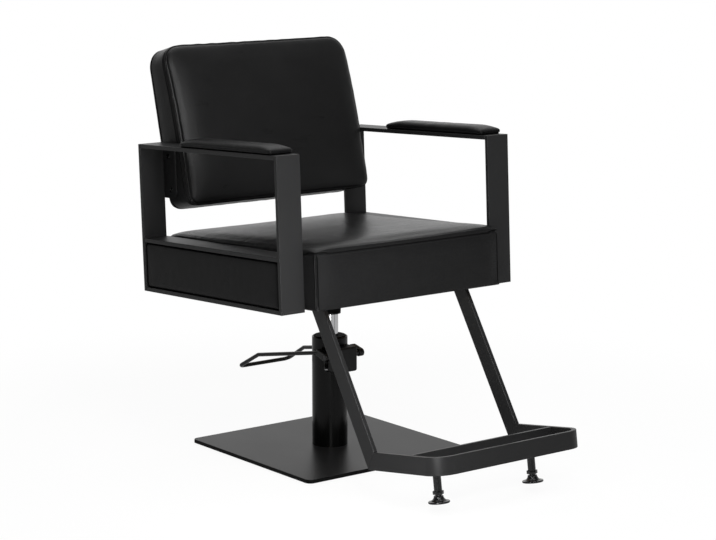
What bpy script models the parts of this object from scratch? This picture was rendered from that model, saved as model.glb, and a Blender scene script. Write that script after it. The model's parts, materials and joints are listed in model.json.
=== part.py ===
"""Hydraulic hairdressing chair, modelled as an assembly of separate pieces.

Metres, +Z up. The chair faces -Y and stands on the plane z = 0, with the pump column's axis on Z.
Right and left are the sitter's, so the right side is at -X.
"""

import math

import bmesh
import bpy
from mathutils import Vector

# Fits
GAP = 0.0003
RUN = 0.0002

# Base plate and glides
PLATE_SIDE = 0.450
PLATE_T = 0.008
PLATE_CORNER = 0.014
PLATE_EDGE = 0.0012
GLIDE_H = 0.003
GLIDE_D = 0.032
GLIDE_INSET = 0.030
CENTRE_PAD_D = 0.070
BOLT_D = 0.010
BOLT_HEAD_D = 0.020
BOLT_DEPTH = 0.010

# Pump column, from the ram outwards
RAM_D = 0.038
PISTON_STEP = 0.006
CYLINDER_WALL = 0.005
COLUMN_GAP = 0.007
COLUMN_WALL = 0.003
COLUMN_H = 0.2486
COLUMN_EDGE = 0.0015
CAP_T = 0.008
CAP_CROWN = 0.002
GLAND_FLANGE = 0.004
GLAND_DEPTH = 0.016
SEAL_H = 0.003
SEAL_W = 0.003
CYLINDER_FLOOR = 0.014
PISTON_H = 0.024
SPIGOT_D = 0.020
SPIGOT_L = 0.010

# Pump block on the front of the column
BLOCK_W = 0.060
BLOCK_H = 0.056
BLOCK_DROP = 0.018
BLOCK_NOSE = 0.014
BLOCK_EDGE = 0.005
SADDLE_WRAP = 0.012
WINDOW_GAP = 0.0006
SHAFT_D = 0.012
SHAFT_OUT = 0.010
SHAFT_DROP = 0.018
BUSH_T = 0.002
BUSH_L = 0.012
FINGER_W = 0.012
FINGER_R = 0.012
FINGER_HUB_D = 0.018
FINGER_NOSE = 0.008
POCKET_GAP = 0.0012
PLUNGER_D = 0.008
PLUNGER_L = 0.019
PLUNGER_LASH = 0.0004
BORE_FLOOR = 0.004
SPRING_WIRE = 0.0009
SPRING_TURNS = 4

# Pedal: a loop of round bar on two hubs
PEDAL_BAR_D = 0.009
PEDAL_SIDE_GAP = 0.0025
PEDAL_SPLAY = 0.018
PEDAL_REACH = 0.237
PEDAL_FALL = math.radians(10.5)
PEDAL_TIP_REACH = 0.070
PEDAL_TIP_DROP = 0.039
PEDAL_BEND = 0.013
HUB_W = 0.013
HUB_EYE_D = 0.0175
HUB_REACH = 0.026
HUB_RISE = 0.007
HUB_END_D = 0.015
SOCKET_DEPTH = 0.010
SET_BOLT_D = 0.009
SET_BOLT_L = 0.0205
SET_BOLT_STUB_D = 0.004
SET_BOLT_STUB_L = 0.002

# Swivel hub and seat mounting
RAM_SHOW = 0.0525
WASHER_T = 0.002
SWIVEL_D = 0.050
SWIVEL_H = 0.0538
STUB_D = 0.030
STUB_L = 0.046
MOUNT_W = 0.190
MOUNT_L = 0.220
MOUNT_T = 0.006
MOUNT_CORNER = 0.020
SEAT_TILT = math.radians(2.87)

# Arm frames, in the tilted frame of the seat
OVERALL_W = 0.630
ARM_BAR_W = 0.060
ARM_BAR_T = 0.009
ARM_EDGE = 0.0008
ARM_FRONT = 0.2546
ARM_DEPTH = 0.5284
ARM_LOW = 0.003
ARM_H = 0.3305
MID_BAR_H = 0.1107
EAR_W = 0.040
EAR_L = 0.055
EAR_T = 0.004
EAR_SPREAD = 0.260
PANEL_GAP = 0.0018
PANEL_RECESS = 0.001
PANEL_CROWN = 0.002
PANEL_CORNER = 0.006
PAD_L = 0.340
PAD_W = 0.060
PAD_H = 0.0165
PAD_CROWN = 0.0025
PAD_CORNER = 0.006
PAD_SETBACK = 0.022
PAD_TAPER = 0.055
PAD_END = 0.60
BRACKET_W = 0.055
BRACKET_H = 0.113
BRACKET_T = 0.0035
BRACKET_CORNER = 0.016
BRACKET_DROP = 0.012

# Seat
BOARD_T = 0.012
BOARD_INSET = 0.016
SEAT_GAP = 0.0006
SEAT_FRONT = 0.294
SEAT_DEPTH = 0.562
SEAT_H = 0.130
SEAT_CROWN = 0.008
SEAT_CORNER = 0.016
SEAT_FALL = math.radians(1.1)
SEAM_DEPTH = 0.0022
SEAM_W = 0.004
SEAM_DROP = 0.010
DRAW_IN = 0.002

# Back cushion
BACK_H = 0.362
BACK_T = 0.104
BACK_CROWN = 0.008
BACK_CORNER = 0.042
BACK_LOW_CORNER = 0.024
BACK_LEAN = math.radians(11.1)
BACK_FRONT = 0.1612
BACK_LOW = 0.1982
BACK_LUMBAR = 0.33
BACK_TAPER = 0.24

# Footrest of flat bar on edge, and its levelling feet
REST_BAR_W = 0.038
REST_BAR_T = 0.010
REST_HALF_W = 0.200
REST_SLANT = math.radians(32.5)
REST_TOP_Y = -0.2280
FLANGE_W = 0.040
FLANGE_L = 0.066
LOOP_RISE = math.radians(8.5)
LOOP_Y = -0.530
LOOP_Z = 0.126
LOOP_REACH = 0.093
LOOP_CORNER = 0.045
BOSS_D = 0.020
BOSS_H = 0.007
FOOT_SPREAD = 0.257
FOOT_CLEAR = 0.018
STEM_D = 0.0125
STEM_ROOM = 0.003
STUD_D = 0.006
STUD_L = 0.026
STUD_ROOM = 0.004
STEM_NECK_D = 0.009
STEM_COLLAR_D = 0.018
STEM_COLLAR_H = 0.008
STEM_COLLAR_LIFT = 0.004
BALL_D = 0.012
BALL_LIFT = 0.0095
FOOT_PAD_D = 0.045
FOOT_PAD_RIM = 0.004
FOOT_CUP_WALL = 0.0024

ROUND = 32
FINE_ROUND = 48

SIDES = {"right": -1, "left": 1}

# Places worked out from the sizes above
PLATE_TOP = GLIDE_H + PLATE_T
COLUMN_FOOT = PLATE_TOP + GAP
COLUMN_TOP = COLUMN_FOOT + COLUMN_H
BORE_R = RAM_D / 2 + PISTON_STEP
CYLINDER_R = BORE_R + CYLINDER_WALL
SLEEVE_R = CYLINDER_R + COLUMN_GAP
COLUMN_R = SLEEVE_R + COLUMN_WALL
CAP_LOW = COLUMN_TOP - CAP_T
GLAND_TOP = CAP_LOW - GAP
CYLINDER_TOP = GLAND_TOP - GLAND_FLANGE - GAP
PISTON_LOW = COLUMN_FOOT + CYLINDER_FLOOR + GAP
PISTON_TOP = PISTON_LOW + PISTON_H
BLOCK_TOP = COLUMN_TOP - BLOCK_DROP
BLOCK_LOW = BLOCK_TOP - BLOCK_H
SHAFT_Y = -(COLUMN_R + SHAFT_OUT)
SHAFT_Z = BLOCK_TOP - SHAFT_DROP
BUSH_R = SHAFT_D / 2 + RUN + BUSH_T
PLUNGER_Y = SHAFT_Y + FINGER_R
FINGER_TAPER = math.acos((FINGER_HUB_D - FINGER_NOSE) / 2 / FINGER_R)
DOME_DROP = ((FINGER_NOSE + PLUNGER_D) / 2 + PLUNGER_LASH) / math.sin(FINGER_TAPER)
PLUNGER_TOP = SHAFT_Z - DOME_DROP + PLUNGER_D / 2
PLUNGER_LOW = PLUNGER_TOP - PLUNGER_L
BORE_LOW = BLOCK_LOW + BORE_FLOOR
PEDAL_X = COLUMN_R + PEDAL_SIDE_GAP + PEDAL_BAR_D / 2
SWIVEL_LOW = COLUMN_TOP + CAP_CROWN + RAM_SHOW
SHOULDER_Z = SWIVEL_LOW - WASHER_T - 2 * GAP
SEAT_PIVOT = SWIVEL_LOW + SWIVEL_H
ARM_OUT = OVERALL_W / 2
ARM_IN = ARM_OUT - ARM_BAR_W
ARM_REAR = ARM_DEPTH - ARM_FRONT
ARM_TOP = ARM_LOW + ARM_H
MID_LOW = ARM_LOW + MID_BAR_H
SEAT_LOW = ARM_LOW + EAR_T + GAP
SEAT_HALF_W = ARM_IN - SEAT_GAP
PLATE_LOW = SEAT_LOW - GAP - MOUNT_T
BACK_HALF_W = ARM_IN - BRACKET_T - 2 * GAP
REST_MID_X = REST_HALF_W - REST_BAR_T / 2


def clear_scene():
    """Remove whatever the file holds, so that the script can run twice."""
    for old in list(bpy.data.objects):
        bpy.data.objects.remove(old, do_unlink=True)


def finish(name, colour, roughness, metallic=0.0):
    """A plain surface: base colour, roughness and metallic value."""
    made = bpy.data.materials.new(name)
    made.use_nodes = True
    made.diffuse_color = (*colour, 1.0)
    shader = made.node_tree.nodes["Principled BSDF"]
    shader.inputs["Base Color"].default_value = (*colour, 1.0)
    shader.inputs["Roughness"].default_value = roughness
    shader.inputs["Metallic"].default_value = metallic
    return made


def pivot(name, parent=None, location=(0, 0, 0), tilt=0.0):
    """An empty that carries pieces. A positive tilt leans it back, towards +Y."""
    made = bpy.data.objects.new(name, None)
    bpy.context.scene.collection.objects.link(made)
    made.parent = parent
    made.location = location
    made.rotation_euler = (-tilt, 0, 0)
    return made


def piece(name, shape, look, parent=None, location=(0, 0, 0), turn=(0, 0, 0), sharp=35):
    """Make one object from a bmesh and place it under its parent."""
    bmesh.ops.recalc_face_normals(shape, faces=shape.faces)
    mesh = bpy.data.meshes.new(name)
    shape.to_mesh(mesh)
    shape.free()
    mesh.shade_smooth()
    mesh.set_sharp_from_angle(angle=math.radians(sharp))
    made = bpy.data.objects.new(name, mesh)
    bpy.context.scene.collection.objects.link(made)
    made.data.materials.append(look)
    made.parent = parent
    made.location = location
    made.rotation_euler = turn
    return made


def change(target, name, tool, operation="DIFFERENCE"):
    """Cut the tool from the target, or join it on, and keep the tool as a hidden helper."""
    step = target.modifiers.new(name, "BOOLEAN")
    step.operation = operation
    step.object = tool
    tool.hide_render = True
    tool.display_type = "WIRE"


def turned(profile, closed=False, steps=ROUND):
    """Turn (radius, height) points about Z. An open profile starts and ends on the axis."""
    shape = bmesh.new()
    rings = []
    for radius, height in profile:
        if radius == 0:
            rings.append([shape.verts.new((0, 0, height))])
            continue
        points = arc((0, 0), radius, 0, 360 * (steps - 1) / steps, steps - 1)
        rings.append([shape.verts.new((x, y, height)) for x, y in points])
    pairs = list(zip(rings, rings[1:]))
    if closed:
        pairs.append((rings[-1], rings[0]))
    for low, high in pairs:
        for k in range(steps):
            n = (k + 1) % steps
            corners = [low[k % len(low)], low[n % len(low)], high[n % len(high)], high[k % len(high)]]
            shape.faces.new(list(dict.fromkeys(corners)))
    return shape


def ring(inner, outer, low, high, steps=ROUND):
    """A plain ring of rectangular section about Z."""
    return turned([(outer, high), (outer, low), (inner, low), (inner, high)], closed=True, steps=steps)


def rod(radius, low, high, steps=ROUND):
    """A plain round bar along Z."""
    return turned([(0, high), (radius, high), (radius, low), (0, low)], steps=steps)


def stack(loops):
    """A closed solid through loops of points, all of one length, with a flat cap at each end."""
    shape = bmesh.new()
    rows = [[shape.verts.new(point) for point in loop] for loop in loops]
    for low, high in zip(rows, rows[1:]):
        for k in range(len(low)):
            n = (k + 1) % len(low)
            shape.faces.new((low[k], low[n], high[n], high[k]))
    shape.faces.new(rows[0])
    shape.faces.new(rows[-1])
    return shape


def slab(outline, low, high, axis="Z"):
    """Raise a closed outline along an axis: (x, y) points for Z, and (y, z) points for X."""
    if axis == "X":
        return stack([[(height, y, z) for y, z in outline] for height in (low, high)])
    return stack([[(x, y, height) for x, y in outline] for height in (low, high)])


def arc(centre, radius, start, end, steps):
    """Points on an arc, both ends included, with angles in degrees."""
    angles = [math.radians(start + (end - start) * k / steps) for k in range(steps + 1)]
    return [(centre[0] + radius * math.cos(a), centre[1] + radius * math.sin(a)) for a in angles]


def rounded_rectangle(low, high, radius, steps=4, low_radius=None):
    """Outline of a rectangle with round corners. The two at low Y can have a radius of their own."""
    (x0, y0), (x1, y1) = low, high
    foot = low_radius or radius
    points = arc((x1 - radius, y1 - radius), radius, 0, 90, steps)
    points += arc((x0 + radius, y1 - radius), radius, 90, 180, steps)
    points += arc((x0 + foot, y0 + foot), foot, 180, 270, steps)
    return points + arc((x1 - foot, y0 + foot), foot, 270, 360, steps)


def block(low, high, edge=0.0):
    """A box between two corners, with its edges eased by a small chamfer."""
    (x0, y0, z0), (x1, y1, z1) = low, high
    shape = slab([(x0, y0), (x1, y0), (x1, y1), (x0, y1)], z0, z1)
    if edge:
        bmesh.ops.bevel(shape, geom=shape.edges[:], offset=edge, segments=1, affect="EDGES")
    return shape


def link_outline(first, first_r, second, second_r, steps=8):
    """Outline round two circles and the tangents that join them."""
    across, along = second[0] - first[0], second[1] - first[1]
    heading = math.degrees(math.atan2(along, across))
    spread = math.degrees(math.acos((first_r - second_r) / math.hypot(across, along)))
    points = arc(second, second_r, heading - spread, heading + spread, steps)
    return points + arc(first, first_r, heading + spread, heading - spread + 360, 2 * steps)


def meet(point, heading, other, other_heading):
    """Where two lines in the (y, z) plane cross. A heading is a direction (dy, dz)."""
    dy, dz = other[0] - point[0], other[1] - point[1]
    turn = heading[0] * other_heading[1] - heading[1] * other_heading[0]
    along = (dy * other_heading[1] - dz * other_heading[0]) / turn
    return Vector((point[0] + along * heading[0], point[1] + along * heading[1]))


def cushion(half_x, half_y, corner, rings, crown, crown_rings=5, low_corner=None):
    """A closed soft solid from rings of (inset, height), topped by a crown.

    The rings run from the underside up to the edge of the crown.
    Each is the outline drawn in by its inset.
    """
    edge_inset, edge_height = rings[-1]
    room = min(half_x, half_y) - edge_inset
    levels = list(rings)
    for k in range(1, crown_rings + 1):
        part = k / (crown_rings + 1)
        levels.append((edge_inset + part * room, edge_height + crown * (1 - (1 - part) ** 2)))
    loops = []
    for inset, height in levels:
        side = (half_x - inset, half_y - inset)
        high, low = (min(max(r - inset, r / 4), *side) for r in (corner, low_corner or corner))
        outline = rounded_rectangle((-side[0], -side[1]), side, high, 5, low)
        loops.append([(x, y, height) for x, y in outline])
    return stack(loops)


def seamed_side(height, edge, seam_drop):
    """Rings up a cushion's side: eased foot, drawn-in middle, sewn seam and rolled top edge."""
    seam = height - seam_drop
    return [
        (edge / 2, 0.0),
        (0.0, edge / 2),
        (DRAW_IN, seam / 2),
        (0.0, seam - SEAM_W),
        (SEAM_DEPTH, seam),
        (SEAM_DEPTH / 4, seam + SEAM_W / 2),
        (edge / 3, height - edge / 3),
        (edge, height),
    ]


def tube(name, points, diameter, look, parent, location):
    """A round bar along a list of points, as a curve with filled ends."""
    path = bpy.data.curves.new(name, "CURVE")
    path.dimensions = "3D"
    path.bevel_depth = diameter / 2
    path.bevel_resolution = 2
    path.use_fill_caps = True
    line = path.splines.new("POLY")
    line.points.add(len(points) - 1)
    for target, point in zip(line.points, points):
        target.co = (*point, 1.0)
    path.materials.append(look)
    made = bpy.data.objects.new(name, path)
    bpy.context.scene.collection.objects.link(made)
    made.parent = parent
    made.location = location
    return made


def bent(points, radius, steps=6):
    """A path through the points with each inner corner rounded to the bend radius."""
    path = [points[0]]
    for before, here, after in zip(points, points[1:], points[2:]):
        back, ahead = (before - here).normalized(), (after - here).normalized()
        half = back.angle(ahead) / 2
        centre = here + (back + ahead).normalized() * radius / math.sin(half)
        start = (here + back * radius / math.tan(half) - centre).normalized()
        end = (here + ahead * radius / math.tan(half) - centre).normalized()
        path += [centre + radius * start.slerp(end, k / steps) for k in range(steps + 1)]
    return path + [points[-1]]


def bar(name, low, high, look, parent):
    """One flat bar of an arm frame."""
    return piece(name, block(low, high, ARM_EDGE), look, parent)


def across(side, inner, outer):
    """The low and high X of something between two distances from the middle, on one side."""
    return sorted((side * inner, side * outer))


def build_base(looks):
    """The plate, what it stands on, and the bolt that holds the pump to it."""
    half = PLATE_SIDE / 2
    loops = []
    for inset, height in ((0, GLIDE_H), (0, PLATE_TOP - PLATE_EDGE), (PLATE_EDGE, PLATE_TOP)):
        side = half - inset
        outline = rounded_rectangle((-side, -side), (side, side), PLATE_CORNER - inset, 5)
        loops.append([(x, y, height) for x, y in outline])
    shape = stack(loops)
    plate = piece("base_plate", shape, looks["paint"])
    shank, head = BOLT_D / 2, BOLT_HEAD_D / 2
    taper = PLATE_T - GAP
    bolt_top = COLUMN_FOOT + BOLT_DEPTH - GAP
    profile = [(0, bolt_top), (shank, bolt_top), (shank, GLIDE_H + taper)]
    profile += [(head, GLIDE_H + GAP), (0, GLIDE_H + GAP)]
    piece("base_bolt", turned(profile), looks["steel"])
    mouth = shank + GAP + (head - shank) * PLATE_TOP / PLATE_T
    sunk = [(0, PLATE_TOP + PLATE_T), (shank + GAP, PLATE_TOP + PLATE_T), (shank + GAP, PLATE_TOP - GAP)]
    sunk += [(mouth, 0), (0, 0)]
    change(plate, "bolt_hole", piece("plate_hole_tool", turned(sunk), looks["steel"]))
    place = half - GLIDE_INSET
    for side_name, side in SIDES.items():
        for end_name, end in (("front", -1), ("rear", 1)):
            disc = rod(GLIDE_D / 2, 0, GLIDE_H - GAP)
            spot = (side * place, end * place, 0)
            piece(f"glide_{end_name}_{side_name}", disc, looks["rubber"], location=spot)
    piece("centre_pad", rod(CENTRE_PAD_D / 2, 0, GLIDE_H - GAP), looks["rubber"])


def build_column(looks):
    """The hydraulic cylinder with its gland and seal, and the sleeve and cap round it."""
    hole, hole_top = BOLT_D / 2 + GAP, COLUMN_FOOT + BOLT_DEPTH
    floor = COLUMN_FOOT + CYLINDER_FLOOR
    profile = [(0, floor), (BORE_R, floor), (BORE_R, CYLINDER_TOP), (CYLINDER_R, CYLINDER_TOP)]
    profile += [(CYLINDER_R, COLUMN_FOOT), (hole, COLUMN_FOOT), (hole, hole_top), (0, hole_top)]
    piece("cylinder", turned(profile[::-1]), looks["cast"])
    guide, neck = RAM_D / 2 + RUN, BORE_R - GAP
    flange_low = GLAND_TOP - GLAND_FLANGE
    seat_r, seat_low = guide + SEAL_W, GLAND_TOP - SEAL_H
    profile = [(CYLINDER_R, GLAND_TOP), (CYLINDER_R, flange_low), (neck, flange_low)]
    profile += [(neck, CYLINDER_TOP - GLAND_DEPTH), (guide, CYLINDER_TOP - GLAND_DEPTH)]
    profile += [(guide, seat_low), (seat_r, seat_low), (seat_r, GLAND_TOP)]
    piece("gland", turned(profile, closed=True, steps=FINE_ROUND), looks["brass"])
    seal = ring(guide, seat_r - GAP, seat_low + GAP, GLAND_TOP, FINE_ROUND)
    piece("wiper_seal", seal, looks["rubber"])
    profile = [(COLUMN_R - COLUMN_EDGE, COLUMN_TOP), (COLUMN_R, COLUMN_TOP - COLUMN_EDGE)]
    profile += [(COLUMN_R, COLUMN_FOOT), (SLEEVE_R, COLUMN_FOOT), (SLEEVE_R, COLUMN_TOP)]
    sleeve = piece("column_sleeve", turned(profile, closed=True, steps=FINE_ROUND), looks["gloss"])
    half = BLOCK_W / 2 + WINDOW_GAP
    window = block((-half, -2 * COLUMN_R, BLOCK_LOW - WINDOW_GAP), (half, 0, BLOCK_TOP + WINDOW_GAP))
    change(sleeve, "pump_window", piece("window_tool", window, looks["gloss"]))
    rim, eye = SLEEVE_R - GAP, guide + RUN
    cap_top = COLUMN_TOP + CAP_CROWN
    profile = [(eye, cap_top), (rim - CAP_CROWN, cap_top), (rim, COLUMN_TOP)]
    profile += [(rim, CAP_LOW), (eye, CAP_LOW)]
    piece("column_cap", turned(profile, closed=True, steps=FINE_ROUND), looks["gloss"])


def build_ram(looks):
    """The ram with its piston and seal, which slide in the cylinder, and the washer under the hub."""
    lift = pivot("lift_axis")
    wall = BORE_R - RUN
    seal_low, seal_high = PISTON_LOW + PISTON_H / 3, PISTON_LOW + PISTON_H / 3 + SEAL_H
    socket, socket_low = SPIGOT_D / 2 + GAP, PISTON_TOP - SPIGOT_L - GAP
    profile = [(0, socket_low), (socket, socket_low), (socket, PISTON_TOP), (wall, PISTON_TOP)]
    profile += [(wall, seal_high), (wall - SEAL_W, seal_high), (wall - SEAL_W, seal_low)]
    profile += [(wall, seal_low), (wall, PISTON_LOW), (0, PISTON_LOW)]
    piece("piston_head", turned(profile), looks["cast"], lift)
    seal = ring(wall - SEAL_W + GAP, BORE_R - RUN / 2, seal_low + GAP, seal_high - GAP)
    piece("piston_seal", seal, looks["rubber"], lift)
    foot, top = PISTON_TOP + GAP, SHOULDER_Z + STUB_L
    stub, rim, spigot = STUB_D / 2, RAM_D / 2, SPIGOT_D / 2
    profile = [(0, top), (stub, top), (stub, SHOULDER_Z), (rim, SHOULDER_Z), (rim, foot)]
    profile += [(spigot, foot), (spigot, foot - SPIGOT_L), (0, foot - SPIGOT_L)]
    piece("ram", turned(profile, steps=FINE_ROUND), looks["chrome"], lift)
    washer = ring(STUB_D / 2 + RUN, SWIVEL_D / 2, SHOULDER_Z + GAP, SWIVEL_LOW - GAP, FINE_ROUND)
    piece("swivel_washer", washer, looks["satin"], lift)


def lying(shape, location):
    """Lay a piece that was turned about Z along X, through a point."""
    turn = Vector((1, 0, 0)).to_track_quat("Z", "Y").to_matrix()
    bmesh.ops.rotate(shape, matrix=turn, verts=shape.verts)
    bmesh.ops.translate(shape, vec=location, verts=shape.verts)
    return shape


def build_pump(looks):
    """The pump block with its shaft bushes, bored for the shaft, the finger and the plunger."""
    centre = (0, SHAFT_Y, SHAFT_Z)
    low = (-BLOCK_W / 2, SHAFT_Y - BLOCK_NOSE, BLOCK_LOW)
    high = (BLOCK_W / 2, SADDLE_WRAP - CYLINDER_R, BLOCK_TOP)
    housing = piece("pump_block", block(low, high, BLOCK_EDGE), looks["cast"])
    saddle = rod(CYLINDER_R + GAP, BLOCK_LOW - BLOCK_H, BLOCK_TOP + BLOCK_H, FINE_ROUND)
    change(housing, "saddle", piece("saddle_tool", saddle, looks["cast"]))
    shaft_hole = lying(rod(BUSH_R + GAP, -BLOCK_W, BLOCK_W), centre)
    change(housing, "shaft_hole", piece("shaft_hole_tool", shaft_hole, looks["cast"]))
    reach, half = FINGER_HUB_D / 2 + POCKET_GAP, FINGER_W / 2 + POCKET_GAP
    pocket_rear = PLUNGER_Y + PLUNGER_D / 2 + POCKET_GAP
    pocket = block((-half, SHAFT_Y - reach, SHAFT_Z - reach), (half, pocket_rear, SHAFT_Z + reach))
    change(housing, "finger_pocket", piece("pocket_tool", pocket, looks["cast"]))
    bore = rod(PLUNGER_D / 2 + RUN, BORE_LOW, SHAFT_Z)
    bore_tool = piece("bore_tool", bore, looks["cast"], None, (0, PLUNGER_Y, 0))
    change(housing, "plunger_bore", bore_tool)
    for side_name, side in SIDES.items():
        outer = BLOCK_W / 2
        ends = across(side, outer - BUSH_L, outer)
        bush = lying(ring(SHAFT_D / 2 + RUN, BUSH_R, *ends), centre)
        piece(f"shaft_bush_{side_name}", bush, looks["brass"])


def build_plunger(looks):
    """The plunger and the coil spring under it that lifts it again."""
    axis = pivot("plunger_axis", location=(0, PLUNGER_Y, 0))
    dome = arc((0, PLUNGER_TOP - PLUNGER_D / 2), PLUNGER_D / 2, 75, 0, 5)
    profile = [(0, PLUNGER_TOP), *dome, (PLUNGER_D / 2, PLUNGER_LOW), (0, PLUNGER_LOW)]
    piece("plunger", turned(profile), looks["steel"], axis)
    coil = PLUNGER_D / 2 - RUN - SPRING_WIRE
    low, high = BORE_LOW + GAP + SPRING_WIRE / 2, PLUNGER_LOW - GAP - SPRING_WIRE / 2
    count = 10 * SPRING_TURNS
    points = []
    for k in range(count + 1):
        part = k / count
        angle = 2 * math.pi * SPRING_TURNS * part
        x, y = coil * math.cos(angle), coil * math.sin(angle)
        points.append(Vector((x, y, low + (high - low) * part)))
    near = [(a - b).length for i, a in enumerate(points) for b in points[i + 6:]]
    print(f"least gap between the spring's turns: {1000 * (min(near) - SPRING_WIRE):.2f} mm")
    spring = tube("plunger_spring", points, SPRING_WIRE, looks["steel"], None, (0, PLUNGER_Y, 0))
    spring.data.bevel_resolution = 1


def build_pedal(looks):
    """The pedal: cross shaft, pump finger, two hubs and the loop of round bar."""
    axis = pivot("pedal_axis", location=(0, SHAFT_Y, SHAFT_Z))
    end = PEDAL_X + HUB_W / 2
    piece("pedal_shaft", lying(rod(SHAFT_D / 2, -end, end), (0, 0, 0)), looks["steel"], axis)
    nose = FINGER_NOSE / 2
    outline = link_outline((0, 0), FINGER_HUB_D / 2, (FINGER_R, 0), nose)
    finger = piece("pump_finger", slab(outline, -FINGER_W / 2, FINGER_W / 2, "X"), looks["steel"], axis)
    fit_rod = lying(rod(SHAFT_D / 2 + GAP, -2 * end, 2 * end), (0, 0, 0))
    fit = piece("shaft_fit_tool", fit_rod, looks["steel"], axis)
    change(finger, "shaft_fit", fit)
    start = HUB_REACH + HUB_END_D / 2 - SOCKET_DEPTH
    tip = PEDAL_REACH + PEDAL_TIP_REACH
    fall, splay = math.tan(PEDAL_FALL), PEDAL_SPLAY / PEDAL_REACH
    heel_z = HUB_RISE - fall * (PEDAL_REACH - HUB_REACH)
    points = [(start, HUB_RISE - fall * (start - HUB_REACH)), (PEDAL_REACH, heel_z)]
    points += [(tip, heel_z - PEDAL_TIP_DROP)]
    path = [Vector((-PEDAL_X - splay * y, y, z)) for y, z in points]
    path += [Vector((PEDAL_X + splay * y, y, z)) for y, z in points[::-1]]
    tube("pedal_loop", bent(path, PEDAL_BEND), PEDAL_BAR_D, looks["satin"], axis, (0, 0, 0))
    outline = link_outline((0, 0), HUB_EYE_D / 2, (HUB_REACH, HUB_RISE), HUB_END_D / 2)
    for side_name, side in SIDES.items():
        ends = across(side, PEDAL_X - HUB_W / 2, PEDAL_X + HUB_W / 2)
        hub = piece(f"pedal_hub_{side_name}", slab(outline, *ends, "X"), looks["satin"], axis)
        change(hub, "shaft_fit", fit)
        end, inner = (path[0], path[1]) if side < 0 else (path[-1], path[-2])
        socket = rod(PEDAL_BAR_D / 2 + GAP, -GAP, HUB_REACH)
        turn = (inner - end).to_track_quat("Z", "Y").to_euler()
        change(hub, "socket", piece(f"socket_tool_{side_name}", socket, looks["satin"], axis, end, turn))
        if side < 0:
            under, stub, head = -HUB_EYE_D / 2, SET_BOLT_STUB_D / 2, SET_BOLT_D / 2
            stub_top = under + SET_BOLT_STUB_L
            bolt_hole = rod(stub + GAP, 2 * under, stub_top + GAP)
            place = (side * PEDAL_X, 0, 0)
            change(hub, "bolt_hole", piece("set_bolt_tool", bolt_hole, looks["satin"], axis, place))
            profile = [(0, stub_top), (stub, stub_top), (stub, under - GAP), (head, under - GAP)]
            profile += [(head, under - SET_BOLT_L), (0, under - SET_BOLT_L)]
            piece("pedal_set_bolt", turned(profile), looks["gloss"], axis, place)


def build_mounting(looks, swivel, seat):
    """The hub on the ram, cut to the seat's tilt, and the plate and board that carry the seat."""
    bore, roof = STUB_D / 2 + RUN, SHOULDER_Z + STUB_L + GAP
    rim, top = SWIVEL_D / 2, SEAT_PIVOT + SWIVEL_D
    profile = [(0, top), (rim, top), (rim, SWIVEL_LOW), (bore, SWIVEL_LOW), (bore, roof), (0, roof)]
    hub = piece("swivel_hub", turned(profile, steps=FINE_ROUND), looks["satin"], swivel)
    under = PLATE_LOW - GAP
    above = block((-SWIVEL_D, -SWIVEL_D, under), (SWIVEL_D, SWIVEL_D, under + 4 * SWIVEL_D))
    change(hub, "tilt_cut", piece("tilt_tool", above, looks["satin"], seat))
    half_w, half_l = MOUNT_W / 2, MOUNT_L / 2
    outline = rounded_rectangle((-half_w, -half_l), (half_w, half_l), MOUNT_CORNER)
    piece("mount_plate", slab(outline, PLATE_LOW, PLATE_LOW + MOUNT_T), looks["satin"], seat)
    side, front = SEAT_HALF_W - BOARD_INSET, BOARD_INSET - SEAT_FRONT
    rear = SEAT_DEPTH - SEAT_FRONT - BOARD_INSET
    outline = rounded_rectangle((-side, front), (side, rear), SEAT_CORNER)
    piece("seat_board", slab(outline, SEAT_LOW, SEAT_LOW + BOARD_T), looks["wood"], seat)


def build_seat(looks, seat):
    """The box cushion: flat foot over the board, sewn top edge, and a crown that falls to the rear."""
    half_l = SEAT_DEPTH / 2
    middle = half_l - SEAT_FRONT
    rings = seamed_side(SEAT_H, SEAM_DROP, SEAM_DROP)
    shape = cushion(SEAT_HALF_W, half_l, SEAT_CORNER, rings, SEAT_CROWN)
    for vert in shape.verts:
        vert.co.z -= math.tan(SEAT_FALL) * (vert.co.y + half_l) * vert.co.z / SEAT_H
    place = (0, middle, SEAT_LOW)
    seat_box = piece("seat_cushion", shape, looks["leather"], seat, place, sharp=60)
    side, length = SEAT_HALF_W - BOARD_INSET + GAP, half_l - BOARD_INSET + GAP
    outline = rounded_rectangle((-side, -length), (side, length), SEAT_CORNER)
    recess = slab(outline, -BOARD_T, BOARD_T + GAP)
    change(seat_box, "board_recess", piece("recess_tool", recess, looks["leather"], seat, place))


def build_back(looks, seat):
    """The reclined back cushion: crown to the front, sewn edge, and thinner towards the top."""
    back = pivot("back_frame", seat, (0, BACK_FRONT, BACK_LOW), BACK_LEAN)
    rings = seamed_side(BACK_T - BACK_CROWN, SEAM_DROP, SEAM_DROP)
    shape = cushion(BACK_HALF_W, BACK_H / 2, BACK_CORNER, rings, BACK_CROWN, low_corner=BACK_LOW_CORNER)
    for vert in shape.verts:
        above = max(0.0, vert.co.y / BACK_H + 0.5 - BACK_LUMBAR) / (1 - BACK_LUMBAR)
        vert.co.z *= 1 - BACK_TAPER * above ** 2
    place = (0, BACK_T - BACK_CROWN, BACK_H / 2)
    piece("back_cushion", shape, looks["leather"], back, place, (math.pi / 2, 0, 0), sharp=60)


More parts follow.
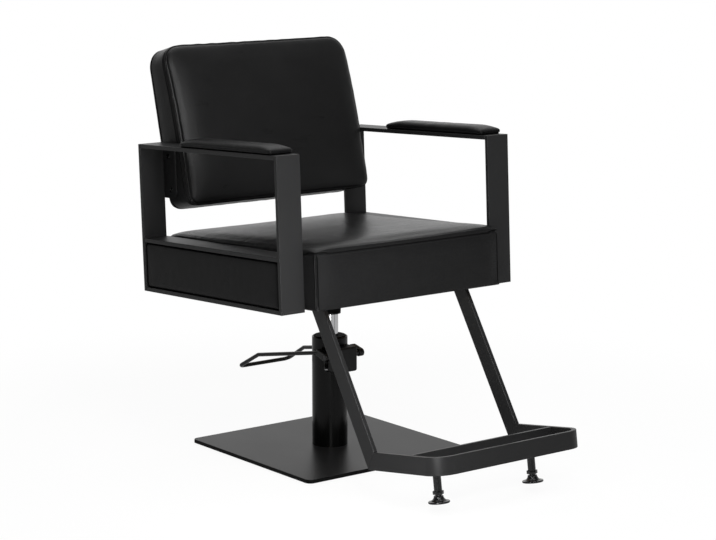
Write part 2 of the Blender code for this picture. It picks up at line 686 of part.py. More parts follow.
def build_arm(looks, seat, side_name, side):
    """One arm: five flat bars, the recessed side panel, the arm pad and the bracket for the back."""
    x0, x1 = across(side, ARM_IN, ARM_OUT)
    front, rear = -ARM_FRONT, ARM_REAR
    first, last = front + ARM_BAR_T, rear - ARM_BAR_T
    look = looks["paint"]
    bar(f"front_post_{side_name}", (x0, front, ARM_LOW), (x1, first, ARM_TOP), look, seat)
    bar(f"rear_post_{side_name}", (x0, last, ARM_LOW), (x1, rear, ARM_TOP), look, seat)
    first, last = first + GAP, last - GAP
    levels = {"top": ARM_TOP - ARM_BAR_T, "mid": MID_LOW, "bottom": ARM_LOW}
    bars = {}
    for name, z in levels.items():
        ends = (x0, first, z), (x1, last, z + ARM_BAR_T)
        bars[name] = bar(f"{name}_bar_{side_name}", *ends, look, seat)
    middle = (front + rear) / 2
    e0, e1 = across(side, ARM_IN - EAR_L, ARM_IN + EAR_T)
    for end in (-1, 1):
        y = middle + end * EAR_SPREAD / 2
        ear = block((e0, y - EAR_W / 2, ARM_LOW), (e1, y + EAR_W / 2, ARM_LOW + EAR_T))
        ear_tool = piece(f"ear_tool_{side_name}_{end}", ear, look, seat)
        change(bars["bottom"], f"ear_{end}", ear_tool, "UNION")

    floor, roof = ARM_LOW + ARM_BAR_T + GAP, MID_LOW - PANEL_GAP
    half_h, half_l = (roof - floor) / 2, (last - first) / 2 - PANEL_GAP
    depth = ARM_BAR_W - PANEL_RECESS - PANEL_CROWN
    rings = [(0.0, 0.0), (0.0, depth - PANEL_CORNER / 2)]
    rings += [(PANEL_CORNER / 4, depth - PANEL_CORNER / 6), (PANEL_CORNER, depth)]
    panel = cushion(half_h, half_l, PANEL_CORNER, rings, PANEL_CROWN, 3)
    place = (side * ARM_IN, middle, (floor + roof) / 2)
    turn = (0, side * math.pi / 2, 0)
    piece(f"side_panel_{side_name}", panel, looks["leather"], seat, place, turn, sharp=60)

    rings = [(PAD_CORNER / 2, 0.0), (PAD_CORNER / 2, PAD_H / 8), (0.0, PAD_H / 4), (0.0, PAD_H / 2)]
    rings += [(PAD_CORNER / 4, PAD_H * 3 / 4), (PAD_CORNER, PAD_H)]
    pad = cushion(PAD_W / 2, PAD_L / 2, PAD_CORNER, rings, PAD_CROWN, 3)
    for vert in pad.verts:
        near_end = max(0.0, abs(vert.co.y) - PAD_L / 2 + PAD_TAPER) / PAD_TAPER
        vert.co.z *= 1 - (1 - PAD_END) * near_end ** 2
    place = ((x0 + x1) / 2, front + PAD_SETBACK + PAD_L / 2, ARM_TOP + GAP)
    piece(f"arm_pad_{side_name}", pad, looks["leather"], seat, place, sharp=60)

    top = ARM_TOP - BRACKET_DROP
    edge, foot = rear - BRACKET_W, top - BRACKET_H
    outline = arc((edge + BRACKET_CORNER, foot + BRACKET_CORNER), BRACKET_CORNER, 180, 270, 6)
    outline += [(rear, foot), (rear, top), (edge, top)]
    plate = slab(outline, *across(side, ARM_IN - GAP - BRACKET_T, ARM_IN - GAP), "X")
    piece(f"back_bracket_{side_name}", plate, look, seat)


def rest_corners():
    """Corners of a slanted footrest bar and of the loop's mitred ends, as (y, z) points."""
    up = (math.sin(REST_SLANT), math.cos(REST_SLANT))
    level = (math.cos(SEAT_TILT), -math.sin(SEAT_TILT))
    ahead = (-math.cos(LOOP_RISE), math.sin(LOOP_RISE))
    flange_z = PLATE_LOW - GAP
    under = (flange_z * math.sin(SEAT_TILT), SEAT_PIVOT + flange_z * math.cos(SEAT_TILT))
    half = REST_BAR_W / 2 / math.cos(REST_SLANT)
    front, rear = (REST_TOP_Y - half, under[1]), (REST_TOP_Y + half, under[1])
    loop_low = (LOOP_Y - REST_BAR_W * math.sin(LOOP_RISE), LOOP_Z - REST_BAR_W * math.cos(LOOP_RISE))
    inner, outer = meet(front, up, (LOOP_Y, LOOP_Z), ahead), meet(rear, up, loop_low, ahead)
    shift, lead = Vector(up) * GAP, Vector(ahead) * GAP
    top_ends = [meet(rear, up, under, level), meet(front, up, under, level)]
    return [inner + shift, outer + shift, *top_ends], (inner + lead, outer + lead)


def build_footrest(looks, swivel, seat, loop):
    """Two slanted flat bars under the seat, the mitred loop with rounded corners, and its cross bar."""
    bar_ends, (inner, outer) = rest_corners()
    level_y = (bar_ends[2][0] + bar_ends[3][0]) / 2
    flange_y = level_y / math.cos(SEAT_TILT) - PLATE_LOW * math.tan(SEAT_TILT)
    for side_name, side in SIDES.items():
        x0, x1 = across(side, REST_HALF_W - REST_BAR_T, REST_HALF_W)
        shape = slab([tuple(p) for p in bar_ends], x0, x1, "X")
        piece(f"footrest_bar_{side_name}", shape, looks["paint"], swivel)
        x0, x1 = across(side, REST_MID_X - FLANGE_W / 2, REST_MID_X + FLANGE_W / 2)
        low = (x0, flange_y - FLANGE_L / 2, PLATE_LOW)
        flange = block(low, (x1, flange_y + FLANGE_L / 2, PLATE_LOW + MOUNT_T))
        piece(f"footrest_flange_{side_name}", flange, looks["paint"], seat)

    def behind(point):
        dy, dz = point[0] - LOOP_Y, point[1] - LOOP_Z
        return dy * math.cos(LOOP_RISE) - dz * math.sin(LOOP_RISE)

    shape = bmesh.new()
    hub_x, hub_y = REST_HALF_W - LOOP_CORNER, LOOP_CORNER - LOOP_REACH
    rows = []
    for radius in (LOOP_CORNER, LOOP_CORNER - REST_BAR_T):
        turns = arc((-hub_x, hub_y), radius, 180, 270, 8) + arc((hub_x, hub_y), radius, 270, 360, 8)
        ends = [(-hub_x - radius, None)] + turns + [(hub_x + radius, None)]
        for height, mitre in ((0, behind(inner)), (-REST_BAR_W, behind(outer))):
            rows.append([shape.verts.new((x, mitre if y is None else y, height)) for x, y in ends])
    order = [rows[0], rows[1], rows[3], rows[2]]
    for first, second in zip(order, order[1:] + order[:1]):
        for k in range(len(first) - 1):
            shape.faces.new((first[k], first[k + 1], second[k + 1], second[k]))
    for end in (0, -1):
        shape.faces.new([row[end] for row in order])
    piece("footrest_loop", shape, looks["paint"], loop)
    half = REST_HALF_W - REST_BAR_T - GAP
    shape = block((-half, 0, -REST_BAR_W), (half, REST_BAR_T, 0), ARM_EDGE)
    return piece("footrest_crossbar", shape, looks["paint"], loop)


def build_foot(looks, loop, crossbar, side_name, side):
    """One levelling foot: the boss under the cross bar, the stem with its ball, and the swivel pad."""
    x, middle = side * FOOT_SPREAD / 2, REST_BAR_T / 2
    boss_top = -REST_BAR_W - GAP
    boss = ring(STEM_D / 2 + RUN, BOSS_D / 2, boss_top - BOSS_H, boss_top)
    piece(f"foot_boss_{side_name}", boss, looks["paint"], loop, (x, middle, 0))
    hole = rod(STUD_D / 2 + RUN, -2 * REST_BAR_W, STUD_L + STUD_ROOM - REST_BAR_W)
    stud_tool = piece(f"stud_tool_{side_name}", hole, looks["paint"], loop, (x, middle, 0))
    change(crossbar, f"stud_{side_name}", stud_tool)
    depth = (FOOT_CLEAR + middle * math.sin(LOOP_RISE) - LOOP_Z) / math.cos(LOOP_RISE) + BALL_LIFT
    axis = pivot(f"foot_axis_{side_name}", loop, (x, middle, depth))
    stem, stud, neck = STEM_D / 2, STUD_D / 2, STEM_NECK_D / 2
    collar, ball = STEM_COLLAR_D / 2, BALL_D / 2
    under = -REST_BAR_W - depth
    stud_top, stem_top = under + STUD_L, under - STEM_ROOM
    collar_top = STEM_COLLAR_LIFT + STEM_COLLAR_H
    profile = [(0, stud_top), (stud, stud_top), (stud, stem_top), (stem, stem_top), (stem, collar_top)]
    profile += [(collar, collar_top), (collar, STEM_COLLAR_LIFT), (neck, STEM_COLLAR_LIFT)]
    profile += arc((0, 0), ball, math.degrees(math.acos(neck / ball)), -80, 8) + [(0, -ball)]
    piece(f"foot_stem_{side_name}", turned(profile), looks["satin"], axis)
    cup, wall, rim = ball + GAP, ball + FOOT_CUP_WALL, FOOT_PAD_D / 2
    flare = arc((rim, 0), rim - wall, 180, 245, 5)
    scale = (BALL_LIFT - FOOT_PAD_RIM) / (rim - wall)
    profile = [(0, -cup)] + arc((0, 0), cup, -80, 0, 6) + [(r, z * scale) for r, z in flare]
    profile += [(rim, FOOT_PAD_RIM - BALL_LIFT), (rim, -BALL_LIFT), (0, -BALL_LIFT)]
    tilt = pivot(f"foot_tilt_{side_name}", axis)
    piece(f"foot_pad_{side_name}", turned(profile), looks["gloss"], tilt)


def main():
    """Build the chair at rest, with the seat at its lowest and the pedal up."""
    clear_scene()
    looks = {
        "paint": finish("black_powder_coat", (0.022, 0.022, 0.023), 0.42),
        "gloss": finish("black_gloss", (0.010, 0.010, 0.010), 0.22),
        "satin": finish("black_steel", (0.020, 0.020, 0.021), 0.35, 0.6),
        "cast": finish("black_casting", (0.012, 0.012, 0.012), 0.5),
        "leather": finish("black_leather", (0.014, 0.014, 0.014), 0.45),
        "chrome": finish("chrome", (0.75, 0.75, 0.76), 0.08, 1.0),
        "steel": finish("steel", (0.50, 0.50, 0.51), 0.3, 1.0),
        "brass": finish("bronze", (0.45, 0.32, 0.16), 0.35, 1.0),
        "rubber": finish("rubber", (0.015, 0.015, 0.015), 0.8),
        "wood": finish("plywood", (0.42, 0.30, 0.18), 0.7),
    }
    build_base(looks)
    build_column(looks)
    build_ram(looks)
    build_pump(looks)
    build_plunger(looks)
    build_pedal(looks)
    swivel = pivot("swivel_axis")
    seat = pivot("seat_frame", swivel, (0, 0, SEAT_PIVOT), SEAT_TILT)
    loop = pivot("loop_frame", swivel, (0, LOOP_Y, LOOP_Z), LOOP_RISE)
    build_mounting(looks, swivel, seat)
    build_seat(looks, seat)
    build_back(looks, seat)
    crossbar = build_footrest(looks, swivel, seat, loop)
    for side_name, side in SIDES.items():
        build_arm(looks, seat, side_name, side)
        build_foot(looks, loop, crossbar, side_name, side)


main()
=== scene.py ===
"""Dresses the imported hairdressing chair: sewn leather, coated steel, a chromed ram and a white studio.

Metres, +Z up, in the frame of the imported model. The chair faces -Y, and right and left are the sitter's.
"""

import functools
import json
import logging
import math
from collections.abc import Callable, Iterable, Sequence
from dataclasses import dataclass, field, replace
from enum import Enum
from typing import Any

import bmesh
import bpy
from bmesh.types import BMEdge, BMVert
from mathutils import Matrix, Vector, noise
from mathutils.bvhtree import BVHTree

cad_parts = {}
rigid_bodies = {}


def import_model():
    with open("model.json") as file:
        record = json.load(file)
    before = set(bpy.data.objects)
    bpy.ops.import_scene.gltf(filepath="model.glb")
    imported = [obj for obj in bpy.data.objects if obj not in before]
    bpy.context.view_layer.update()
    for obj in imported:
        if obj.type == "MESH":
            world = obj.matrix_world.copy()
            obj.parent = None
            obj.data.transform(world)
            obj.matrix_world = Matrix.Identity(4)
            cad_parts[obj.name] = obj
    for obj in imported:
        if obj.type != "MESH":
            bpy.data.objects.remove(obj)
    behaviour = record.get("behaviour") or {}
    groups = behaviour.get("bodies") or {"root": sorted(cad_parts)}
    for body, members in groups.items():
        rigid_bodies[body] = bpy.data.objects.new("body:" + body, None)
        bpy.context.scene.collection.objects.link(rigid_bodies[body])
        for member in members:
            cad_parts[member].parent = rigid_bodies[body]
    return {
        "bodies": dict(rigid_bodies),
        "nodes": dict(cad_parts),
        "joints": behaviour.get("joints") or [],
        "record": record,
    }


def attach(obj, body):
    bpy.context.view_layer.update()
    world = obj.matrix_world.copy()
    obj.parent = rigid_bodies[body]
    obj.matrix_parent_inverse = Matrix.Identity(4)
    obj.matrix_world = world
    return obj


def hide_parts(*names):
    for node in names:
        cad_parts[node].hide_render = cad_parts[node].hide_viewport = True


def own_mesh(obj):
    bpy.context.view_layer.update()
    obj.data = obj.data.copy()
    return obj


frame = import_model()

LOG = logging.getLogger("chair")
HAIR = 0.0003
WELD = 1e-5
MERGE = 1e-6
FLAT = math.radians(0.5)
UP = (0, 0, 1)
FINE = 96
ROUND = 48
COARSE = 32
STITCH_PITCH = 0.0048
CORD_PITCH = 0.006
THIN_CORD = 0.0009

Point = Sequence[float]
Pair = tuple[float, float]
Colour = tuple[float, float, float]
Sockets = dict[str | int, Any]


class Body(Enum):
    """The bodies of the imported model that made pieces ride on."""

    BASE = "base"
    PEDAL = "pedal"
    LIFT = "lift"
    SEAT = "seat"
    FOOT_RIGHT = "foot_right"
    FOOT_LEFT = "foot_left"
    PAD_RIGHT = "pad_right"
    PAD_LEFT = "pad_left"


class Side(Enum):
    """The two sides of the chair, by the sign of X."""

    RIGHT = -1
    LEFT = 1

    @property
    def label(self) -> str:
        """The side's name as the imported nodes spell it."""
        return self.name.lower()


class Slot(Enum):
    """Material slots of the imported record."""

    PAINT = "black_powder_coat"
    GLOSS = "black_gloss"
    SATIN = "black_steel"
    CAST = "black_casting"
    LEATHER = "black_leather"
    CHROME = "chrome"
    STEEL = "steel"
    BRONZE = "bronze"
    RUBBER = "rubber"
    PLYWOOD = "plywood"


class Board:
    """The node tree of a material or of the world, with one method that adds any node."""

    def __init__(self, tree: bpy.types.NodeTree) -> None:
        """Start on a node tree."""
        self.tree = tree

    def node(self, kind: str, sockets: Sockets | None = None, **settings: Any) -> bpy.types.Node:
        """Add one node.

        Args:
            kind: the node's type name.
            sockets: values or wires, by socket name or index.
            settings: the node's properties, set before the sockets.

        Returns:
            The new node.
        """
        made = self.tree.nodes.new(kind)
        for key, value in settings.items():
            setattr(made, key, value)
        for key, value in (sockets or {}).items():
            if isinstance(value, Wire):
                self.tree.links.new(value.socket, made.inputs[key])
            else:
                made.inputs[key].default_value = value
        return made

    def wire(
        self, kind: str, sockets: Sockets | None = None, output: str | int = 0, **settings: Any,
    ) -> "Wire":
        """Add one node and take one of its outputs, by name or index."""
        return Wire(self, self.node(kind, sockets, **settings).outputs[output])

    def vector(self, operation: str, sockets: Sockets, output: str | int = 0) -> "Wire":
        """Add one Vector Math node."""
        return self.wire("ShaderNodeVectorMath", sockets, output, operation=operation)

    def place(self) -> "Wire":
        """The point on the piece in the chair's own frame, in metres."""
        return self.wire("ShaderNodeTexCoord", output="Object")

    def stretched(self, where: "Wire", scale: Point) -> "Wire":
        """Scale a pattern's coordinates along each axis."""
        return self.wire("ShaderNodeMapping", {"Vector": where, "Scale": scale})

    def cloud(self, where: "Wire", scale: float, detail: float = 2.0) -> "Wire":
        """Soft noise from 0 to 1, by its features to the metre and its octaves."""
        return self.wire("ShaderNodeTexNoise", {"Vector": where, "Scale": scale, "Detail": detail})

    def between(self, share: "Wire", first: Colour, second: Colour) -> "Wire":
        """Mix two colours: a share of 0 gives the first and 1 the second."""
        sockets = {0: share, 6: (*first, 1.0), 7: (*second, 1.0)}
        return self.wire("ShaderNodeMix", sockets, 2, data_type="RGBA")

    def bump(self, height: "Wire", strength: float, distance: float) -> "Wire":
        """A normal bumped by a relief from 0 to 1, with its depth in metres."""
        return self.wire("ShaderNodeBump", {"Strength": strength, "Distance": distance, "Height": height})


class Wire:
    """One socket of a board. Python's operators on it add Math nodes."""

    def __init__(self, board: Board, socket: bpy.types.NodeSocket) -> None:
        """Hold an output socket and the board that it is on."""
        self.board = board
        self.socket = socket

    def maths(self, operation: str, *values: Any) -> "Wire":
        """Add one Math node with its inputs in order, numbers or wires."""
        return self.board.wire("ShaderNodeMath", dict(enumerate(values)), operation=operation)

    def __add__(self, other: Any) -> "Wire":
        """Sum."""
        return self.maths("ADD", self, other)

    __radd__ = __add__

    def __sub__(self, other: Any) -> "Wire":
        """Difference."""
        return self.maths("SUBTRACT", self, other)

    def __rsub__(self, other: Any) -> "Wire":
        """Difference from a number."""
        return self.maths("SUBTRACT", other, self)

    def __mul__(self, other: Any) -> "Wire":
        """Product."""
        return self.maths("MULTIPLY", self, other)

    def most(self, other: Any) -> "Wire":
        """The larger of the two."""
        return self.maths("MAXIMUM", self, other)

    def ramp(self, low: float, high: float) -> "Wire":
        """Rise smoothly from 0 at low to 1 at high."""
        sockets = {"Value": self, "From Min": low, "From Max": high}
        return self.board.wire("ShaderNodeMapRange", sockets, interpolation_type="SMOOTHSTEP")


@dataclass(frozen=True)
class Finish:
    """A surface finish: even values on the shader, and a pattern painted by each kind of finish."""

    name: str
    slot: Slot
    colour: Colour
    roughness: float
    metallic: float = 0.0
    specular: float = 0.5

    def material(self) -> bpy.types.Material:
        """The finish's material, made on first use.

        Returns:
            The material.
        """
        found = bpy.data.materials.get(self.name)
        if found:
            return found
        made = bpy.data.materials.new(self.name)
        made.use_nodes = True
        made.diffuse_color = (*self.colour, 1.0)
        shader = made.node_tree.nodes["Principled BSDF"]
        even = {"Base Color": (*self.colour, 1.0), "Roughness": self.roughness}
        even |= {"Metallic": self.metallic, "Specular IOR Level": self.specular}
        for key, value in even.items():
            shader.inputs[key].default_value = value
        for key, wire in self.pattern(Board(made.node_tree)).items():
            made.node_tree.links.new(wire.socket, shader.inputs[key])
        return made

    def pattern(self, board: Board) -> dict[str, Wire]:
        """What varies over the surface, by the shader's socket name."""
        return {}

    def shade(self, factor: float) -> Colour:
        """The base colour made lighter or darker."""
        red, green, blue = self.colour
        return red * factor, green * factor, blue * factor


@dataclass(frozen=True)
class Coat(Finish):
    """Sprayed or baked paint: fine orange peel, with faint clouds in the gloss."""

    peel: float = 1500.0
    relief: float = 0.00005
    strength: float = 0.3
    clouds: float = 0.05
    cloud_scale: float = 7.0

    def pattern(self, board: Board) -> dict[str, Wire]:
        """Orange peel in the normal, clouds in colour and gloss.

        Args:
            board: the material's board.

        Returns:
            Wires by the shader's socket name.
        """
        where = board.place()
        clouds = board.cloud(where, self.cloud_scale, 3.0)
        peel = board.cloud(where, self.peel)
        return {
            "Base Color": board.between(clouds, self.shade(0.9), self.shade(1.1)),
            "Roughness": self.roughness + (clouds - 0.5) * self.clouds + (peel - 0.5) * self.clouds,
            "Normal": board.bump(peel, self.strength, self.relief),
        }


@dataclass(frozen=True)
class Leather(Finish):
    """Embossed leather: warped pebbles with pores between them, faint creases, and clouds in the polish."""

    pebble: float = 620.0
    gutter: float = 0.22
    drift: float = 190.0
    warp: float = 0.0022
    pore: float = 3200.0
    cloud: float = 11.0
    crease: Colour = (9, 55, 32)
    creases: float = 5.0
    relief: float = 0.00022
    strength: float = 0.35

    def pattern(self, board: Board) -> dict[str, Wire]:
        """Pebbled grain in the normal and the gloss; clouds in the colour, with the gutters between pebbles
        painted darker as painted shade.

        Args:
            board: the material's board.

        Returns:
            Wires by the shader's socket name.
        """
        where = board.place()
        sockets = {"Vector": where, "Scale": self.drift, "Detail": 2.0}
        drift = board.wire("ShaderNodeTexNoise", sockets, "Color")
        warped = board.vector("ADD", {0: where, 1: board.vector("SCALE", {0: drift, "Scale": self.warp})})
        sockets = {"Vector": warped, "Scale": self.pebble}
        cells = board.wire("ShaderNodeTexVoronoi", sockets, feature="DISTANCE_TO_EDGE")
        pebbles = cells.ramp(0.0, self.gutter)
        pores = board.cloud(where, self.pore, 1.0)
        clouds = board.cloud(where, self.cloud, 3.0)
        creases = board.cloud(board.stretched(where, self.crease), 1.0, 3.0)
        return {
            # Half random clouds, half the pebbles: the gutters between pebbles are painted darker, painted
            # shade in the hollows.
            "Base Color": board.between(pebbles * 0.5 + clouds * 0.5, self.shade(0.72), self.shade(1.2)),
            "Roughness": self.roughness + (clouds - 0.5) * 0.1 + (creases - 0.5) * 0.1 + (1 - pebbles) * 0.08,
            "Normal": board.bump(pebbles + pores * 0.3 + creases * self.creases, self.strength, self.relief),
        }


@dataclass(frozen=True)
class Turned(Finish):
    """Metal finished on a lathe or a polishing wheel: fine rings round the Z axis."""

    rings: float = 2600.0
    cloud: float = 30.0
    relief: float = 0.00001
    strength: float = 0.2

    def pattern(self, board: Board) -> dict[str, Wire]:
        """Rings in the normal and the gloss, clouds in the gloss.

        Args:
            board: the material's board.

        Returns:
            Wires by the shader's socket name.
        """
        where = board.place()
        lines = board.cloud(board.stretched(where, (0.02, 0.02, 1.0)), self.rings)
        clouds = board.cloud(where, self.cloud)
        return {
            "Roughness": self.roughness + (lines - 0.5) * 0.05 + (clouds - 0.5) * 0.04,
            "Normal": board.bump(lines, self.strength, self.relief),
        }


@dataclass(frozen=True)
class Casting(Finish):
    """Painted sand casting: coarse lumps under a fine grit."""

    lump: float = 240.0
    grit: float = 1500.0
    relief: float = 0.0003
    strength: float = 0.35

    def pattern(self, board: Board) -> dict[str, Wire]:
        """Lumps and grit in the normal, grit in the gloss, and the lumps in the colour, with the hollows
        between them painted darker as painted shade.

        Args:
            board: the material's board.

        Returns:
            Wires by the shader's socket name.
        """
        where = board.place()
        lumps = board.cloud(where, self.lump, 3.0)
        grit = board.cloud(where, self.grit)
        return {
            # The lumps set the colour: the hollows between them are painted darker, painted shade.
            "Base Color": board.between(lumps, self.shade(0.75), self.shade(1.3)),
            "Roughness": self.roughness + (grit - 0.5) * 0.15,
            "Normal": board.bump(lumps + grit * 0.4, self.strength, self.relief),
        }


@dataclass(frozen=True)
class Veneer(Finish):
    """Raw plywood: long grain along Y and fine pores."""

    grain: float = 120.0
    pore: float = 900.0
    relief: float = 0.0002
    strength: float = 0.3

    def pattern(self, board: Board) -> dict[str, Wire]:
        """Grain in the colour, pores in the gloss and the normal.

        Args:
            board: the material's board.

        Returns:
            Wires by the shader's socket name.
        """
        where = board.place()
        grain = board.cloud(board.stretched(where, (1.0, 0.05, 1.0)), self.grain, 4.0)
        pores = board.cloud(board.stretched(where, (1.0, 0.03, 1.0)), self.pore, 1.0)
        return {
            "Base Color": board.between(grain, self.shade(0.6), self.shade(1.15)),
            "Roughness": self.roughness + (pores - 0.5) * 0.2,
            "Normal": board.bump(pores, self.strength, self.relief),
        }


LEATHER = Leather("sewn_leather", Slot.LEATHER, (0.0085, 0.0085, 0.0087), 0.30, specular=0.19)
SEAT_HIDE = replace(LEATHER, name="seat_leather", roughness=0.24, specular=0.13, creases=14.0)
# A darker copy of the leather for the arm pads and side panels: painted shade.
SHADED_HIDE = replace(LEATHER, name="arm_leather_painted_shade", colour=(0.006, 0.006, 0.0062), specular=0.1)
THREAD = Coat("sewing_thread", Slot.LEATHER, (0.010, 0.010, 0.010), 0.6, specular=0.3, peel=4000.0)
# Near-black matt finish for the seam cords and the pad boards: painted shade in the seam grooves and under
# the arm pads.
SHADE_BLACK = Coat("painted_shade_black", Slot.LEATHER, (0.0012, 0.0012, 0.0012), 0.85, specular=0.05, peel=4000.0)
PAINT = Coat("satin_powder_coat", Slot.PAINT, (0.0114, 0.0114, 0.0117), 0.42, specular=0.28)
PLATE = Coat("plate_powder_coat", Slot.PAINT, (0.0085, 0.0085, 0.0088), 0.36, specular=0.14)
# Near-black coat for the plate's steep sides: painted shade on its rim.
PLATE_SIDE_SHADE = Coat("plate_side_painted_shade", Slot.PAINT, (0.002, 0.002, 0.002), 0.5, specular=0.08)
GLOSS = Coat(
    "gloss_enamel", Slot.GLOSS, (0.0012, 0.0012, 0.0012), 0.2, specular=0.2, peel=350.0, strength=0.08,
    clouds=0.03,
)
CAP = Coat("satin_enamel", Slot.GLOSS, (0.0015, 0.0015, 0.0015), 0.6, specular=0.04)
SATIN = Coat(
    "blackened_steel", Slot.SATIN, (0.0045, 0.0045, 0.0047), 0.3, specular=0.3, peel=900.0, strength=0.2,
)
CAST = Casting("painted_casting", Slot.CAST, (0.005, 0.005, 0.005), 0.5, specular=0.25)
CHROME = Turned("hard_chrome", Slot.CHROME, (0.74, 0.74, 0.75), 0.07, 1.0)
STEEL = Turned("bright_steel", Slot.STEEL, (0.48, 0.48, 0.49), 0.28, 1.0, strength=0.4)
OILED = Turned("oiled_steel", Slot.STEEL, (0.055, 0.055, 0.057), 0.3, 1.0, strength=0.4)
ZINC = Turned("black_zinc", Slot.SATIN, (0.007, 0.007, 0.0073), 0.2, specular=0.5, strength=0.3)
BRONZE = Turned("bearing_bronze", Slot.BRONZE, (0.45, 0.32, 0.16), 0.32, 1.0, strength=0.4)
RUBBER = Coat("moulded_rubber", Slot.RUBBER, (0.014, 0.014, 0.014), 0.8, specular=0.3, peel=2200.0)
PLYWOOD = Veneer("raw_plywood", Slot.PLYWOOD, (0.42, 0.30, 0.18), 0.68)

INNER_NODES = {
    BRONZE: ("gland", "shaft_bush_right", "shaft_bush_left"),
    SATIN: ("swivel_washer",),
    CAST: ("cylinder", "piston_head"),
    RUBBER: ("wiper_seal", "piston_seal", "centre_pad")
    + tuple(f"glide_{end}_{side.label}" for end in ("front", "rear") for side in Side),
    STEEL: ("base_bolt", "plunger", "pump_finger"),
    PLYWOOD: ("seat_board",),
}

SOFT: dict[str, Any] = {"sharp": 60.0, "flats": False}
SEWN: dict[str, Any] = {"sharp": 80.0, "flats": False}


def only(kind: type, geom: Iterable[Any]) -> list[Any]:
    """The elements of one kind."""
    return [x for x in geom if isinstance(x, kind)]


